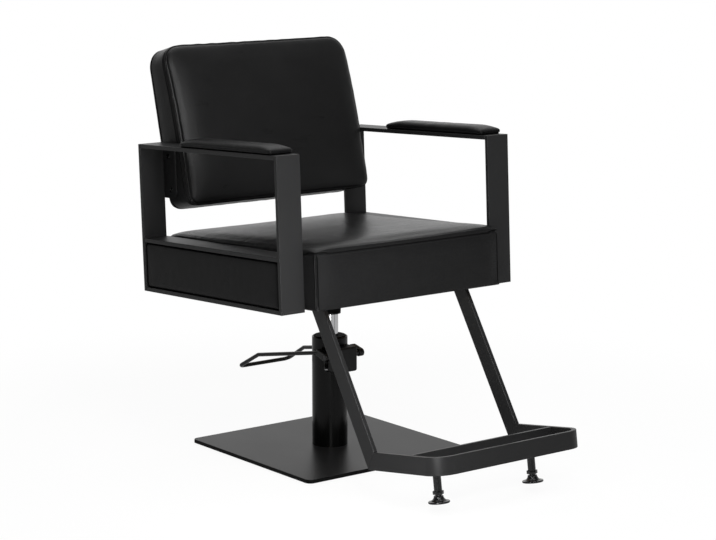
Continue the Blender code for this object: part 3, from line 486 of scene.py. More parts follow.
class Shape:
    """A bmesh on its way to becoming one piece."""

    def __init__(self) -> None:
        """Start with nothing."""
        self.bm = bmesh.new()

    @property
    def geom(self) -> list[Any]:
        """Every vertex, edge and face."""
        return self.bm.verts[:] + self.bm.edges[:] + self.bm.faces[:]

    @classmethod
    def box(cls, low: Point, high: Point) -> "Shape":
        """A plain box.

        Args:
            low: its lowest corner.
            high: its highest corner.

        Returns:
            The shape.
        """
        made = cls()
        low, high = Vector(low), Vector(high)
        bmesh.ops.create_cube(made.bm, size=1.0)
        return made.place(Matrix.Translation((low + high) / 2) @ Matrix.Diagonal((high - low).to_4d()))

    @classmethod
    def rod(cls, radius: float, low: float, high: float, sides: int = ROUND) -> "Shape":
        """A round bar along Z, or one with few sides.

        Args:
            radius: its radius.
            low: the Z of one end.
            high: the Z of the other.
            sides: facets round it.

        Returns:
            The shape.
        """
        made = cls()
        place = Matrix.Translation((0, 0, (low + high) / 2))
        bmesh.ops.create_cone(
            made.bm, cap_ends=True, segments=sides, radius1=radius, radius2=radius, depth=high - low,
            matrix=place,
        )
        return made

    @classmethod
    def turned(cls, profile: Iterable[Point], steps: int = 72) -> "Shape":
        """Spin (radius, height) points about Z. A profile that starts and ends on the axis makes a solid.

        Args:
            profile: the points in order; a first point repeated at the end makes a ring.
            steps: facets round it.

        Returns:
            The shape.
        """
        made = cls()
        verts = [made.bm.verts.new((radius, 0, height)) for radius, height in profile]
        edges = [made.bm.edges.new(pair) for pair in zip(verts, verts[1:])]
        bmesh.ops.spin(
            made.bm, geom=verts + edges, cent=(0, 0, 0), axis=UP, angle=2 * math.pi, steps=steps,
            use_merge=True,
        )
        return made.closed()

    @classmethod
    def raised(cls, outline: Iterable[Point], rise: Point) -> "Shape":
        """Raise a flat outline into a prism.

        Args:
            outline: its points in order.
            rise: the vector it is raised by.

        Returns:
            The shape.
        """
        made = cls()
        face = made.bm.faces.new([made.bm.verts.new(point) for point in outline])
        grown = bmesh.ops.extrude_face_region(made.bm, geom=[face], use_keep_orig=True)["geom"]
        bmesh.ops.translate(made.bm, vec=rise, verts=only(BMVert, grown))
        return made.closed()

    @classmethod
    def swept(cls, path: Sequence[Vector], outline: Sequence[Point], over: Point) -> "Shape":
        """Carry a closed outline along a path.

        Args:
            path: the points that the outline's origin follows.
            outline: (across, over) points of the section.
            over: the direction that the section's second axis starts near.

        Returns:
            The shape, capped at both ends.
        """
        made = cls()
        spans = zip([path[0], *path], [*path[1:], path[-1]])
        heads = [(after - before).normalized() for before, after in spans]
        across = heads[0].cross(Vector(over)).normalized()
        above = across.cross(heads[0])
        ring = [made.bm.verts.new(path[0] + across * u + above * v) for u, v in outline]
        made.bm.faces.new(ring)
        edges = [made.bm.edges.get(pair) for pair in zip(ring, ring[1:] + ring[:1])]
        for here, there, old, new in zip(path, path[1:], heads, heads[1:]):
            grown = bmesh.ops.extrude_edge_only(made.bm, edges=edges)["geom"]
            ring = only(BMVert, grown)
            edges = [edge for edge in only(BMEdge, grown) if all(vert in ring for vert in edge.verts)]
            bmesh.ops.translate(made.bm, vec=there - here, verts=ring)
            turn = old.rotation_difference(new).to_matrix()
            bmesh.ops.rotate(made.bm, cent=there, matrix=turn, verts=ring)
        bmesh.ops.edgeloop_fill(made.bm, edges=edges)
        return made.closed()

    @classmethod
    def copied(cls, node: str) -> "Shape":
        """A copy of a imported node, with its triangles sewn up and its flats made whole.

        Args:
            node: the node's name.

        Returns:
            The shape.
        """
        made = cls()
        made.bm.from_mesh(bpy.data.objects[node].data)
        return made.closed().flattened(FLAT)

    def closed(self) -> "Shape":
        """Merge doubles and turn the faces outwards.

        Returns:
            The shape.
        """
        bmesh.ops.remove_doubles(self.bm, verts=self.bm.verts, dist=MERGE)
        bmesh.ops.recalc_face_normals(self.bm, faces=self.bm.faces)
        return self

    def flattened(self, angle: float) -> "Shape":
        """Make one face of those that meet at less than an angle in radians."""
        bmesh.ops.dissolve_limit(self.bm, angle_limit=angle, verts=self.bm.verts[:], edges=self.bm.edges[:])
        return self

    def place(self, matrix: Matrix) -> "Shape":
        """Move, turn or scale the whole shape."""
        bmesh.ops.transform(self.bm, matrix=matrix, verts=self.bm.verts)
        return self

    def ease(
        self, width: float, segments: int = 3, angle: float = 30.0,
        where: Callable[[BMEdge], bool] | None = None,
    ) -> "Shape":
        """Round the sharp edges.

        Args:
            width: the width of the rounding.
            segments: facets over it.
            angle: edges flatter than this, in degrees, stay.
            where: picks the edges, if not all.

        Returns:
            The shape.
        """
        limit = math.radians(angle)
        sharp = [edge for edge in self.bm.edges if edge.is_manifold and edge.calc_face_angle() > limit]
        chosen = [edge for edge in sharp if where is None or where(edge)]
        bmesh.ops.bevel(
            self.bm, geom=chosen, offset=width, offset_type="OFFSET", segments=segments, profile=0.5,
            affect="EDGES", clamp_overlap=True, material=-1,
        )
        bmesh.ops.dissolve_degenerate(self.bm, dist=WELD, edges=self.bm.edges)
        return self

    def join(self, other: "Shape") -> "Shape":
        """Take in another shape's faces.

        Args:
            other: the other shape, which is used up.

        Returns:
            The shape.
        """
        mesh = bpy.data.meshes.new("loose")
        other.bm.to_mesh(mesh)
        other.bm.free()
        self.bm.from_mesh(mesh)
        bpy.data.meshes.remove(mesh)
        return self

    def loose(self) -> bpy.types.Object:
        """A plain object of this shape, for a step that needs one.

        Returns:
            The object, in the scene.
        """
        mesh = bpy.data.meshes.new("loose")
        self.bm.to_mesh(mesh)
        self.bm.free()
        made = bpy.data.objects.new("loose", mesh)
        bpy.context.scene.collection.objects.link(made)
        return made

    def taken(self, source: bpy.types.Object) -> "Shape":
        """Read an object's evaluated mesh back, and remove the object.

        Args:
            source: the object.

        Returns:
            The shape.
        """
        bpy.context.view_layer.update()
        self.bm = bmesh.new()
        self.bm.from_object(source, bpy.context.evaluated_depsgraph_get())
        mesh = source.data
        bpy.data.objects.remove(source)
        bpy.data.meshes.remove(mesh)
        return self

    def cut(self, *tools: "Shape") -> "Shape":
        """Take other shapes away from this one.

        Args:
            tools: the shapes to take away, which are used up.

        Returns:
            The shape.
        """
        target = self.loose()
        cutters = [tool.loose() for tool in tools]
        for cutter in cutters:
            step = target.modifiers.new("cut", "BOOLEAN")
            step.operation, step.solver, step.object = "DIFFERENCE", "EXACT", cutter
        self.taken(target)
        for cutter in cutters:
            bpy.data.objects.remove(cutter)
        return self

    def sliced(self, point: Point, normal: Point) -> "Shape":
        """Cut off what lies on the normal's side of a plane, and close the cut.

        Args:
            point: a point of the plane.
            normal: the plane's normal.

        Returns:
            The shape.
        """
        made = bmesh.ops.bisect_plane(
            self.bm, geom=self.geom, plane_co=point, plane_no=normal, clear_outer=True,
        )
        bmesh.ops.edgeloop_fill(self.bm, edges=only(BMEdge, made["geom_cut"]))
        return self.closed()

    def piece(
        self, name: str, finish: Finish, *nodes: str, body: Body = Body.SEAT, sharp: float = 38.0,
        flats: bool = True,
    ) -> bpy.types.Object:
        """Make the finished piece.

        Args:
            name: the piece's name.
            finish: its finish.
            nodes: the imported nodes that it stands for.
            body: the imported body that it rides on.
            sharp: edges sharper than this, in degrees, stay sharp.
            flats: keep flat faces flat beside rounded edges.

        Returns:
            The piece.
        """
        made = self.loose()
        made.name = made.data.name = name
        made.data.shade_smooth()
        made.data.set_sharp_from_angle(angle=math.radians(sharp))
        made.data.materials.clear()
        made.data.materials.append(finish.material())
        if flats:
            made.modifiers.new("flats", "WEIGHTED_NORMAL").keep_sharp = True
        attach(made, body.value)
        if nodes:
            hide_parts(*nodes)
        LOG.info("%s: %s on %s, %d faces", name, finish.name, body.value, len(made.data.polygons))
        return made


def second_coat(made: bpy.types.Object, finish: Finish, where: Callable[[Any], bool]) -> None:
    """Give some faces of a piece another finish.

    Args:
        made: the piece.
        finish: the other finish.
        where: picks the faces.
    """
    made.data.materials.append(finish.material())
    for face in made.data.polygons:
        face.material_index = int(where(face))


def arc(centre: Point, radius: float, start: float, end: float, steps: int) -> list[Pair]:
    """Points on an arc from one angle to another in degrees, both ends included."""
    angles = [math.radians(start + (end - start) * k / steps) for k in range(steps + 1)]
    return [(centre[0] + radius * math.cos(a), centre[1] + radius * math.sin(a)) for a in angles]


def rounded(
    half_u: float, half_v: float, radius: float, steps: int = 4, low_radius: float | None = None,
) -> list[Pair]:
    """Outline of a rectangle about the origin with round corners.

    Args:
        half_u: half its width.
        half_v: half its height.
        radius: the radius of its corners.
        steps: segments to a corner.
        low_radius: the radius of the two corners at low V, if it differs.

    Returns:
        The points in order.
    """
    foot = radius if low_radius is None else low_radius
    points = arc((half_u - radius, half_v - radius), radius, 0, 90, steps)
    points += arc((radius - half_u, half_v - radius), radius, 90, 180, steps)
    points += arc((foot - half_u, foot - half_v), foot, 180, 270, steps)
    return points + arc((half_u - foot, foot - half_v), foot, 270, 360, steps)


def bent(corners: Sequence[Vector], radius: float, steps: int = 12) -> list[Vector]:
    """A path through corners, each rounded to a bend.

    Args:
        corners: the path's points, ends included.
        radius: the bend's radius.
        steps: segments to a bend.

    Returns:
        The path's points.
    """
    path = [corners[0]]
    for before, here, after in zip(corners, corners[1:], corners[2:]):
        back, ahead = (before - here).normalized(), (after - here).normalized()
        half = back.angle(ahead) / 2
        centre = here + (back + ahead).normalized() * radius / math.sin(half)
        first = (here + back * radius / math.tan(half) - centre).normalized()
        last = (here + ahead * radius / math.tan(half) - centre).normalized()
        path += [centre + radius * first.slerp(last, k / steps).normalized() for k in range(steps + 1)]
    return path + [corners[-1]]


def lean(place: Point, angle: float) -> Matrix:
    """A frame at a place, leant back towards +Y by an angle in degrees."""
    return Matrix.Translation(place) @ Matrix.Rotation(math.radians(-angle), 4, "X")


def along_x(place: Point) -> Matrix:
    """Lay what was made along Z along X, through a point."""
    return Matrix.Translation(place) @ Matrix.Rotation(math.pi / 2, 4, "Y")


SEAT_FRAME = lean((0, 0, 0.3682), 2.87)
LOOP_FRAME = lean((0, -0.530, 0.126), 8.5)


class Run(Enum):
    """Which way a seam's plane lies on a padded piece, by the axis that it is square to."""

    ACROSS = 0
    ALONG = 1
    LEVEL = 2


@dataclass(frozen=True)
class Seam:
    """A sewn line: its plane, how deep or proud and how wide it lies, and how it draws the cover in."""

    run: Run
    at: float
    depth: float
    width: float
    pull: float = 0.0
    reach: float = 0.022


@dataclass
class Cushion:
    """A padded piece in its own frame: X across, Y along, and Z from the underside to the crown."""

    half_x: float
    half_y: float
    height: float
    corner: float
    roll: float
    foot: float
    crown: float
    settle: Callable[[Vector], Vector]
    rise: float | None = None
    corner_drop: float = 0.0
    corner_reach: float = 0.045
    cell: float = 0.009
    low_corner: float | None = None
    seams: tuple[Seam, ...] = ()
    pressure: float = 4.0
    frames: int = 20
    limit: float = 0.006
    draw_in: float = 0.0015
    pucker: float = 0.0004
    pucker_scale: float = 55.0
    pucker_reach: float = 4.0
    calm: int = 5
    square: float = 0.7
    line_steps: int = 8
    seed: float = 0.0

    def beyond(self, point: Vector) -> tuple[Vector, float]:
        """How far a point lies past the middle of its corner's arc, and the arc's radius.

        Args:
            point: a point in the cushion's frame.

        Returns:
            The distances along X and Y, and the radius.
        """
        low = self.corner if self.low_corner is None else self.low_corner
        radius = self.corner if point.y > 0 else low
        return Vector((abs(point.x) - self.half_x + radius, abs(point.y) - self.half_y + radius)), radius

    def inward(self, point: Vector) -> tuple[Vector, float]:
        """The way from a point straight in from the nearest side, and its depth behind that side.

        Args:
            point: a point in the cushion's frame.

        Returns:
            The unit vector inwards, level, and the depth.
        """
        past, radius = self.beyond(point)
        signs = Vector((math.copysign(1, -point.x), math.copysign(1, -point.y), 0))
        if min(past) > 0:
            way = past.normalized()
            return Vector((signs.x * way.x, signs.y * way.y, 0)), radius - past.length
        if past.x > past.y:
            return Vector((signs.x, 0, 0)), radius - past.x
        return Vector((0, signs.y, 0)), radius - past.y

    def eased(self, point: Vector) -> Vector:
        """A point of the square blank, moved onto the form with round corners and rolled edges.

        Args:
            point: the point on the blank.

        Returns:
            The point on the form.
        """
        past, radius = self.beyond(point)
        place = point.copy()
        if min(past) > 0:
            shrink = max(past) / past.length
            place.x = math.copysign(self.half_x - radius + past.x * shrink, point.x)
            place.y = math.copysign(self.half_y - radius + past.y * shrink, point.y)
        way, depth = self.inward(place)
        top_edge = (self.roll, self.rise or self.roll, self.height - point.z, 1)
        low_edge = (self.foot, self.foot, point.z, -1)
        for wide, tall, over, sign in (top_edge, low_edge):
            in_from, down = depth / wide, over / tall
            if max(in_from, down) > 1:
                continue
            turn = math.pi / 4 * (1 - max(in_from, down))
            near, far = 1 - math.cos(turn), 1 - math.sin(turn)
            new_depth, new_over = (near, far) if in_from <= down else (far, near)
            place += way * (new_depth * wide - depth)
            place.z += sign * (over - new_over * tall)
        return place

    def filled(self, point: Vector) -> Vector:
        """Draw the sides in and raise the crown.

        Args:
            point: a point on the form.

        Returns:
            The point moved.
        """
        way, depth = self.inward(point)
        up = min(max(point.z / self.height, 0.0), 1.0)
        in_by = self.draw_in * math.sin(math.pi * up) * max(0.0, 1 - depth / self.roll)
        share = min(max(depth / min(self.half_x, self.half_y), 0.0), 1.0)
        lift = self.crown * (1 - (1 - share) ** 3) * (1 if point.z > self.height / 2 else 0)
        corner = Vector((abs(point.x) - self.half_x, abs(point.y) - self.half_y)).length
        drop = self.corner_drop * max(0.0, 1 - corner / self.corner_reach) ** 2 * up ** 6
        return point + way * in_by + Vector((0, 0, lift - drop))

    def blank(self) -> Shape:
        """The unfilled form: a gridded box with round corners and rolled edges.

        Returns:
            The shape.
        """
        shape = Shape.box((-self.half_x, -self.half_y, 0), (self.half_x, self.half_y, self.height))
        for axis, length in enumerate((2 * self.half_x, 2 * self.half_y, self.height)):
            chosen = []
            for edge in shape.bm.edges:
                way = edge.verts[1].co - edge.verts[0].co
                if abs(way[axis]) > 0.5 * length:
                    chosen.append(edge)
            cuts = max(2, round(length / self.cell) - 1)
            bmesh.ops.subdivide_edges(shape.bm, edges=chosen, cuts=cuts, use_grid_fill=True)
        for vert in shape.bm.verts:
            vert.co = self.filled(self.eased(vert.co))
        return shape

    def held(self, point: Vector) -> bool:
        """Whether the cover is held fast at a point: on the board under it, and along its level seams.

        Args:
            point: a point of the cover.

        Returns:
            True where it is held.
        """
        if point.z < self.foot + self.cell / 4:
            return True
        levels = [seam.at for seam in self.seams if seam.run is Run.LEVEL]
        _, depth = self.inward(point)
        return depth < self.cell / 2 and any(abs(point.z - level) < self.cell / 2 for level in levels)

    def inflate(self, shape: Shape) -> Shape:
        """Fill the cover by cloth simulation, with each point's way capped and evened out.

        Args:
            shape: the blank.

        Returns:
            The filled shape.
        """
        rest = [vert.co.copy() for vert in shape.bm.verts]
        cover = shape.loose()
        group = cover.vertex_groups.new(name="held")
        group.add([k for k, point in enumerate(rest) if self.held(point)], 1.0, "REPLACE")
        settings = cover.modifiers.new("cover", "CLOTH").settings
        settings.quality = 6
        settings.mass = 0.4
        settings.tension_stiffness = settings.compression_stiffness = 25.0
        settings.bending_stiffness = 4.0
        settings.use_pressure = True
        settings.uniform_pressure_force = self.pressure
        settings.shrink_min = -0.006
        settings.vertex_group_mass = "held"
        settings.effector_weights.gravity = 0
        scene = bpy.context.scene
        scene.frame_start, scene.frame_end = 1, self.frames
        for step in range(scene.frame_start, scene.frame_end + 1):
            scene.frame_set(step)
        shape.taken(cover)
        scene.frame_set(scene.frame_start)
        moves = [vert.co - start for vert, start in zip(shape.bm.verts, rest)]
        moves = [way.normalized() * self.limit * math.tanh(way.length / self.limit) for way in moves]
        shape.bm.verts.index_update()
        beside = [[edge.other_vert(vert).index for edge in vert.link_edges] for vert in shape.bm.verts]
        for _ in range(self.calm):
            moves = [sum((moves[k] for k in near), way) / (len(near) + 1) for near, way in zip(beside, moves)]
        for vert, start, way in zip(shape.bm.verts, rest, moves):
            vert.co = start + way
        return shape

    def sew(self, shape: Shape) -> None:
        """Press the seams into the filled form and pucker the leather beside them.

        Args:
            shape: the filled form.
        """
        for seam in self.seams:
            normal = Vector((0, 0, 0))
            normal[seam.run.value] = 1.0
            for part in (-1.0, -0.5, 0.0, 0.5, 1.0):
                point = normal * (seam.at + part * seam.width)
                bmesh.ops.bisect_plane(shape.bm, geom=shape.geom, plane_co=point, plane_no=normal, dist=WELD)
        for vert in shape.bm.verts:
            vert.co += self.sewn(vert.co)

    def sewn(self, point: Vector) -> Vector:
        """How far the seams move a point of the cover.

        Args:
            point: the point.

        Returns:
            The move.
        """
        way, depth = self.inward(point)
        moved = Vector((0, 0, 0))
        if depth > self.cell or point.z < self.foot:
            return moved
        top = min((seam.at for seam in self.seams if seam.run is Run.LEVEL), default=self.height)
        for seam in self.seams:
            level = seam.run is Run.LEVEL
            squarely = level or Vector((abs(way.y), abs(way.x)))[seam.run.value] >= self.square
            if not squarely or (point.z > top and not level):
                continue
            off = abs(point[seam.run.value] - seam.at) / seam.width
            moved += way * seam.pull * math.exp(-((off * seam.width / seam.reach) ** 2))
            if off < 1:
                moved += way * seam.depth * (1 - off * off) ** 2
            if level and self.pucker:
                along = point.x if abs(way.y) > abs(way.x) else point.y
                wave = noise.noise(Vector((along * self.pucker_scale, self.seed, way.x * 3 + way.y)))
                moved += way * self.pucker * wave * math.exp(-((off / self.pucker_reach) ** 2))
        return moved

    def build(self, recess: Shape | None = None) -> Shape:
        """Make the padded form, placed in the chair.

        Args:
            recess: a shape to cut out of the underside, in the cushion's frame.

        Returns:
            The finished shape.
        """
        shape = self.blank()
        shape = self.inflate(shape)
        self.sew(shape)
        soft = shape.loose()
        smooth = soft.modifiers.new("smooth", "SUBSURF")
        smooth.levels = smooth.render_levels = 1
        shape.taken(soft)
        if recess:
            shape.cut(recess)
        for vert in shape.bm.verts:
            vert.co = self.settle(vert.co)
        return shape

    def line(self, level: float, pitch: float) -> list[Vector]:
        """Points round the cushion at one level, an even pitch apart.

        Args:
            level: the height in the cushion's frame.
            pitch: the distance between points.

        Returns:
            The points in the chair's frame.
        """
        corners = rounded(self.half_x, self.half_y, self.corner, self.line_steps, self.low_corner)
        loop = [Vector((x, y, level)) for x, y in corners]
        points, spare = [], 0.0
        for start, end in zip(loop, loop[1:] + loop[:1]):
            length = (end - start).length
            while spare < length:
                points.append(self.settle(start.lerp(end, spare / length)))
                spare += pitch
            spare -= length
        return points


def laid(
    surface: bpy.types.Object, points: Iterable[Vector], sink: float = 0.0,
) -> list[tuple[Vector, Vector]]:
    """Lay points on a padded piece.

    Args:
        surface: the piece.
        points: the points, near its surface.
        sink: how far under the surface they go.

    Returns:
        Each point on the surface with the surface's normal there.
    """
    tree = BVHTree.FromObject(surface, bpy.context.evaluated_depsgraph_get())
    found = [tree.find_nearest(point)[:2] for point in points]
    return [(spot - normal * sink, normal) for spot, normal in found]


def stitches(
    surface: bpy.types.Object, row: Sequence[Vector], length: float = 0.0032, thick: float = 0.0009,
) -> Shape:
    """A row of stitches laid on a padded piece.

    Args:
        surface: the piece.
        row: the points between the stitches, in order.
        length: a stitch's length.
        thick: the thread's thickness.

    Returns:
        The shape of all the stitches.
    """
    made = Shape()
    size = Matrix.Diagonal((length / 2, thick / 2, thick / 2, 1))
    middles = laid(surface, [(here + there) / 2 for here, there in zip(row, row[1:])])
    for here, there, (spot, normal) in zip(row, row[1:], middles):
        way = there - here
        way = (way - normal * way.dot(normal)).normalized()
        turn = Matrix((way, normal.cross(way), normal)).transposed().to_4x4()
        place = Matrix.Translation(spot) @ turn @ size
        bmesh.ops.create_icosphere(made.bm, subdivisions=1, radius=1.0, matrix=place)
    return made


def cord(
    surface: bpy.types.Object, row: Sequence[Vector], radius: float = 0.0012, sink: float = 0.0004,
) -> Shape:
    """A sewn cord laid in a seam of a padded piece.

    Args:
        surface: the piece.
        row: points along the seam, in order.
        radius: the cord's radius.
        sink: how deep its middle lies.

    Returns:
        The cord's shape.
    """
    spots = laid(surface, row, sink)
    return Shape.swept([spot for spot, _ in spots], arc((0, 0), radius, 0, 300, 5), spots[0][1])


@dataclass
class Base:
    """The plate on the floor and the pump column on it."""

    plate_side: float = 0.450
    plate_low: float = 0.003
    plate_top: float = 0.011
    plate_corner: float = 0.014
    plate_edge: float = 0.0016
    shaded_side_slope: float = 0.6
    hole: float = 0.0103
    column_radius: float = 0.040
    column_wall: float = 0.003
    column_foot: float = 0.0113
    column_top: float = 0.2599
    column_edge: float = 0.0015
    window_low: Point = (-0.0306, -0.08, 0.1853)
    window_high: Point = (0.0306, 0, 0.2425)
    cap_low: float = 0.2519
    cap_crown: float = 0.002
    eye: float = 0.0194
    eye_edge: float = 0.0012

    def plate(self) -> None:
        """The coated steel plate with painted shade on its steep sides, and a hole for the bolt that holds
        the pump.
        """
        half, top = self.plate_side / 2, self.plate_low + HAIR
        outline = [(u, v, self.plate_low) for u, v in rounded(half, half, self.plate_corner, 12)]
        shape = Shape.raised(outline, (0, 0, self.plate_top - self.plate_low))
        shape.ease(self.plate_edge, 4, 60, lambda edge: all(vert.co.z > top for vert in edge.verts))
        shape.cut(Shape.rod(self.hole, 0, 2 * self.plate_top))
        made = shape.piece("plate", PLATE, "base_plate", body=Body.BASE)
        # Faces steeper than the slope get the near-black coat: painted shade on the plate's sides.
        second_coat(made, PLATE_SIDE_SHADE, lambda face: abs(face.normal.z) < self.shaded_side_slope)

    def column(self) -> None:
        """The enamelled sleeve with its pump window, and the cap round the ram."""
        radius, top, edge = self.column_radius, self.column_top, self.column_edge
        inner = radius - self.column_wall
        profile = [(inner, self.column_foot), (radius, self.column_foot)]
        profile += arc((radius - edge, top - edge), edge, 0, 90, 5)
        profile += [(inner, top), (inner, self.column_foot)]
        sleeve = Shape.turned(profile, FINE).cut(Shape.box(self.window_low, self.window_high))
        sleeve.piece("sleeve", GLOSS, "column_sleeve", body=Body.BASE)
        rim, crown, edge = inner - HAIR, self.cap_crown, self.eye_edge
        profile = [(self.eye, self.cap_low), (rim, self.cap_low), (rim, top)]
        profile += arc((rim - crown, top), crown, 0, 90, 5)
        profile += arc((self.eye + edge, top + crown - edge), edge, 90, 180, 4)
        profile += [(self.eye, self.cap_low)]
        Shape.turned(profile, FINE).piece("cap", CAP, "column_cap", body=Body.BASE)

    def build(self) -> None:
        """Make and dress the base."""
        self.plate()
        self.column()


@dataclass
class Lift:
    """The chromed ram that carries the seat, and the hub that turns on it."""

    ram_radius: float = 0.019
    ram_foot: float = 0.0499
    ram_edge: float = 0.001
    spigot_radius: float = 0.010
    spigot_low: float = 0.0399
    shoulder: float = 0.3118
    stub_radius: float = 0.015
    stub_top: float = 0.3578
    hub_radius: float = 0.025
    hub_low: float = 0.3144
    hub_blank: float = 0.1
    hub_edge: float = 0.0015
    hub_bore: float = 0.0152
    hub_roof: float = 0.3581
    plate_under: float = 0.0007

    def ram(self) -> None:
        """The ram, with the spigot of its piston below and the stub that the hub turns on above."""
        spigot, rim, stub, edge = self.spigot_radius, self.ram_radius, self.stub_radius, self.ram_edge
        profile = [(0, self.spigot_low), (spigot, self.spigot_low), (spigot, self.ram_foot)]
        profile += [(rim, self.ram_foot), *arc((rim - edge, self.shoulder - edge), edge, 0, 90, 4)]
        profile += [(stub, self.shoulder), (stub, self.stub_top), (0, self.stub_top)]
        Shape.turned(profile, FINE).piece("ram_rod", CHROME, "ram", body=Body.LIFT)

    def hub(self) -> None:
        """The hub, cut to the seat's lean under the mount plate."""
        rim, low, high, edge = self.hub_radius, self.hub_low, self.hub_low + self.hub_blank, self.hub_edge
        profile = [(0, self.hub_roof), (self.hub_bore, self.hub_roof), (self.hub_bore, low)]
        profile += arc((rim - edge, low + edge), edge, -90, 0, 4)
        profile += [(rim, high), (0, high)]
        hub = Shape.turned(profile, FINE)
        hub.sliced(SEAT_FRAME @ Vector((0, 0, self.plate_under)), SEAT_FRAME.to_3x3() @ Vector(UP))
        hub.piece("hub", CAP, "swivel_hub")

    def build(self) -> None:
        """Make and dress the ram and the hub."""
        self.ram()
        self.hub()


@dataclass
class Pump:
    """The pump block on the column, and the pedal with its shaft and hubs."""

    axis: Vector = field(default_factory=lambda: Vector((0, -0.050, 0.2239)))
    block_low: Point = (-0.030, -0.064, 0.1859)
    block_high: Point = (0.030, -0.018, 0.2419)
    block_edge: float = 0.005
    pocket_low: Point = (-0.0072, -0.0602, 0.2137)
    pocket_high: Point = (0.0072, -0.0328, 0.2341)
    saddle: Pair = (0.1, 0.4)
    through: float = 0.1
    cylinder_radius: float = 0.0303
    bush_radius: float = 0.0085
    plunger_y: float = -0.038
    plunger_bore: float = 0.0042
    bore_low: float = 0.1899
    stroke: float = 0.0041
    shaft_radius: float = 0.006
    shaft_edge: float = 0.0008
    hub_x: float = 0.047
    hub_half: float = 0.0065
    hub_edge: float = 0.0012
    hub_flat: float = 0.01
    eye_radius: float = 0.00875
    end_reach: float = 0.026
    end_rise: float = 0.007
    end_radius: float = 0.0075
    bar_radius: float = 0.0045
    socket_y: float = 0.0235
    socket_depth: float = 0.03
    heel: Point = (0.237, -0.0321)
    tip: Point = (0.307, -0.0711)
    splay: float = 0.0759
    fall: float = 0.18534
    bend: float = 0.013
    bolt_radius: float = 0.0045
    bolt_length: float = 0.0205
    bolt_stub: float = 0.002
    bolt_edge: float = 0.0005
    bolt_bright: float = 0.005
    bolt_point: tuple[Pair, ...] = ((0.0006, 0.0035), (0.0012, 0.001), (0.002, 0.0))
    thread_drop: float = 0.003
    thread_pitch: float = 0.001
    thread_depth: float = 0.0006
    thread_turns: int = 11

    def crosswise(self, radius: float) -> Shape:
        """A tool for a hole right through along the cross shaft."""
        return Shape.rod(radius, -self.through, self.through).place(along_x(self.axis))

    def block(self) -> None:
        """The cast block with its saddle, shaft hole, finger pocket and plunger bore."""
        shape = Shape.box(self.block_low, self.block_high).ease(self.block_edge, 5)
        bore = Shape.rod(self.plunger_bore, self.bore_low, self.axis.z, COARSE)
        shape.cut(
            Shape.rod(self.cylinder_radius, *self.saddle, FINE),
            self.crosswise(self.bush_radius),
            Shape.box(self.pocket_low, self.pocket_high),
            bore.place(Matrix.Translation((0, self.plunger_y, 0))),
        )
        shape.piece("pump_casting", CAST, "pump_block", body=Body.BASE)

    def path(self) -> list[Vector]:
        """The middle line of the pedal's bar.

        Returns:
            Its corners from the right hub round to the left.
        """
        start = (self.socket_y, self.end_rise - self.fall * (self.socket_y - self.end_reach))
        points = [start, self.heel, self.tip]
        right = [Vector((-self.hub_x - self.splay * y, y, z)) for y, z in points]
        left = [Vector((-p.x, p.y, p.z)) for p in reversed(right)]
        return [self.axis + p for p in right + left]

    def pedal(self) -> None:
        """The shaft, the loop of round bar and the two hubs."""
        end = self.hub_x + self.hub_half
        shaft = Shape.rod(self.shaft_radius, -end, end).ease(self.shaft_edge, 2).place(along_x(self.axis))
        shaft.piece("cross_shaft", OILED, "pedal_shaft", body=Body.PEDAL)
        corners = self.path()
        loop = Shape.swept(bent(corners, self.bend), arc((0, 0), self.bar_radius, 0, 345, 23), UP)
        loop.piece("pedal_bar", SATIN, "pedal_loop", body=Body.PEDAL, flats=False)
        self.hub(Side.RIGHT, corners[0], corners[1])
        self.hub(Side.LEFT, corners[-1], corners[-2])

    def hub(self, side: Side, first: Vector, second: Vector) -> None:
        """One hub: an eye on the shaft and a lug with a socket for the bar.

        Args:
            side: the side it is on.
            first: the end of the bar's middle line.
            second: the next corner of that line.
        """
        ends = (self.hub_x - self.hub_half, self.hub_x + self.hub_half)
        low, high = sorted(side.value * end for end in ends)
        lug = self.axis + Vector((0, self.end_reach, self.end_rise))
        hub = Shape.rod(self.eye_radius, low, high).place(along_x(self.axis))
        hub.join(Shape.rod(self.end_radius, low, high).place(along_x(lug)))
        hull = bmesh.ops.convex_hull(hub.bm, input=hub.bm.verts)
        inside = [x for x in hull["geom_interior"] + hull["geom_unused"] if x.is_valid]
        bmesh.ops.delete(hub.bm, geom=list(set(only(BMVert, inside))), context="VERTS")
        hub.flattened(self.hub_flat).closed().ease(self.hub_edge, 3, 60)
        turn = (second - first).to_track_quat("Z", "Y").to_matrix().to_4x4()
        socket = Shape.rod(self.bar_radius + HAIR, -HAIR, self.socket_depth, COARSE)
        hub.cut(self.crosswise(self.shaft_radius + HAIR), socket.place(Matrix.Translation(first) @ turn))
        hub.piece(f"hub_{side.label}", SATIN, f"pedal_hub_{side.label}", body=Body.PEDAL)

    def set_bolt(self) -> None:
        """The bolt under the right hub: black head, rolled thread and bright point."""
        radius, top, stub, edge = self.bolt_radius, -self.eye_radius - HAIR, self.bolt_stub, self.bolt_edge
        low = top - self.bolt_length + HAIR
        profile = [(0, top + stub), (stub, top + stub), (stub, top)]
        profile += [(radius - edge, top), (radius, top - edge)]
        for turn in range(self.thread_turns):
            ridge = top - self.thread_drop - self.thread_pitch * turn
            profile += [(radius, ridge), (radius - self.thread_depth, ridge - self.thread_pitch / 2)]
        profile += [(radius - inset, low + rise) for inset, rise in self.bolt_point]
        bolt = Shape.turned(profile + [(0, low)], ROUND)
        bolt.place(Matrix.Translation(self.axis + Vector((-self.hub_x, 0, 0))))
        made = bolt.piece("set_bolt", GLOSS, "pedal_set_bolt", body=Body.PEDAL, flats=False)
        bright = self.axis.z + low + self.bolt_bright
        second_coat(made, STEEL, lambda face: face.center.z < bright)

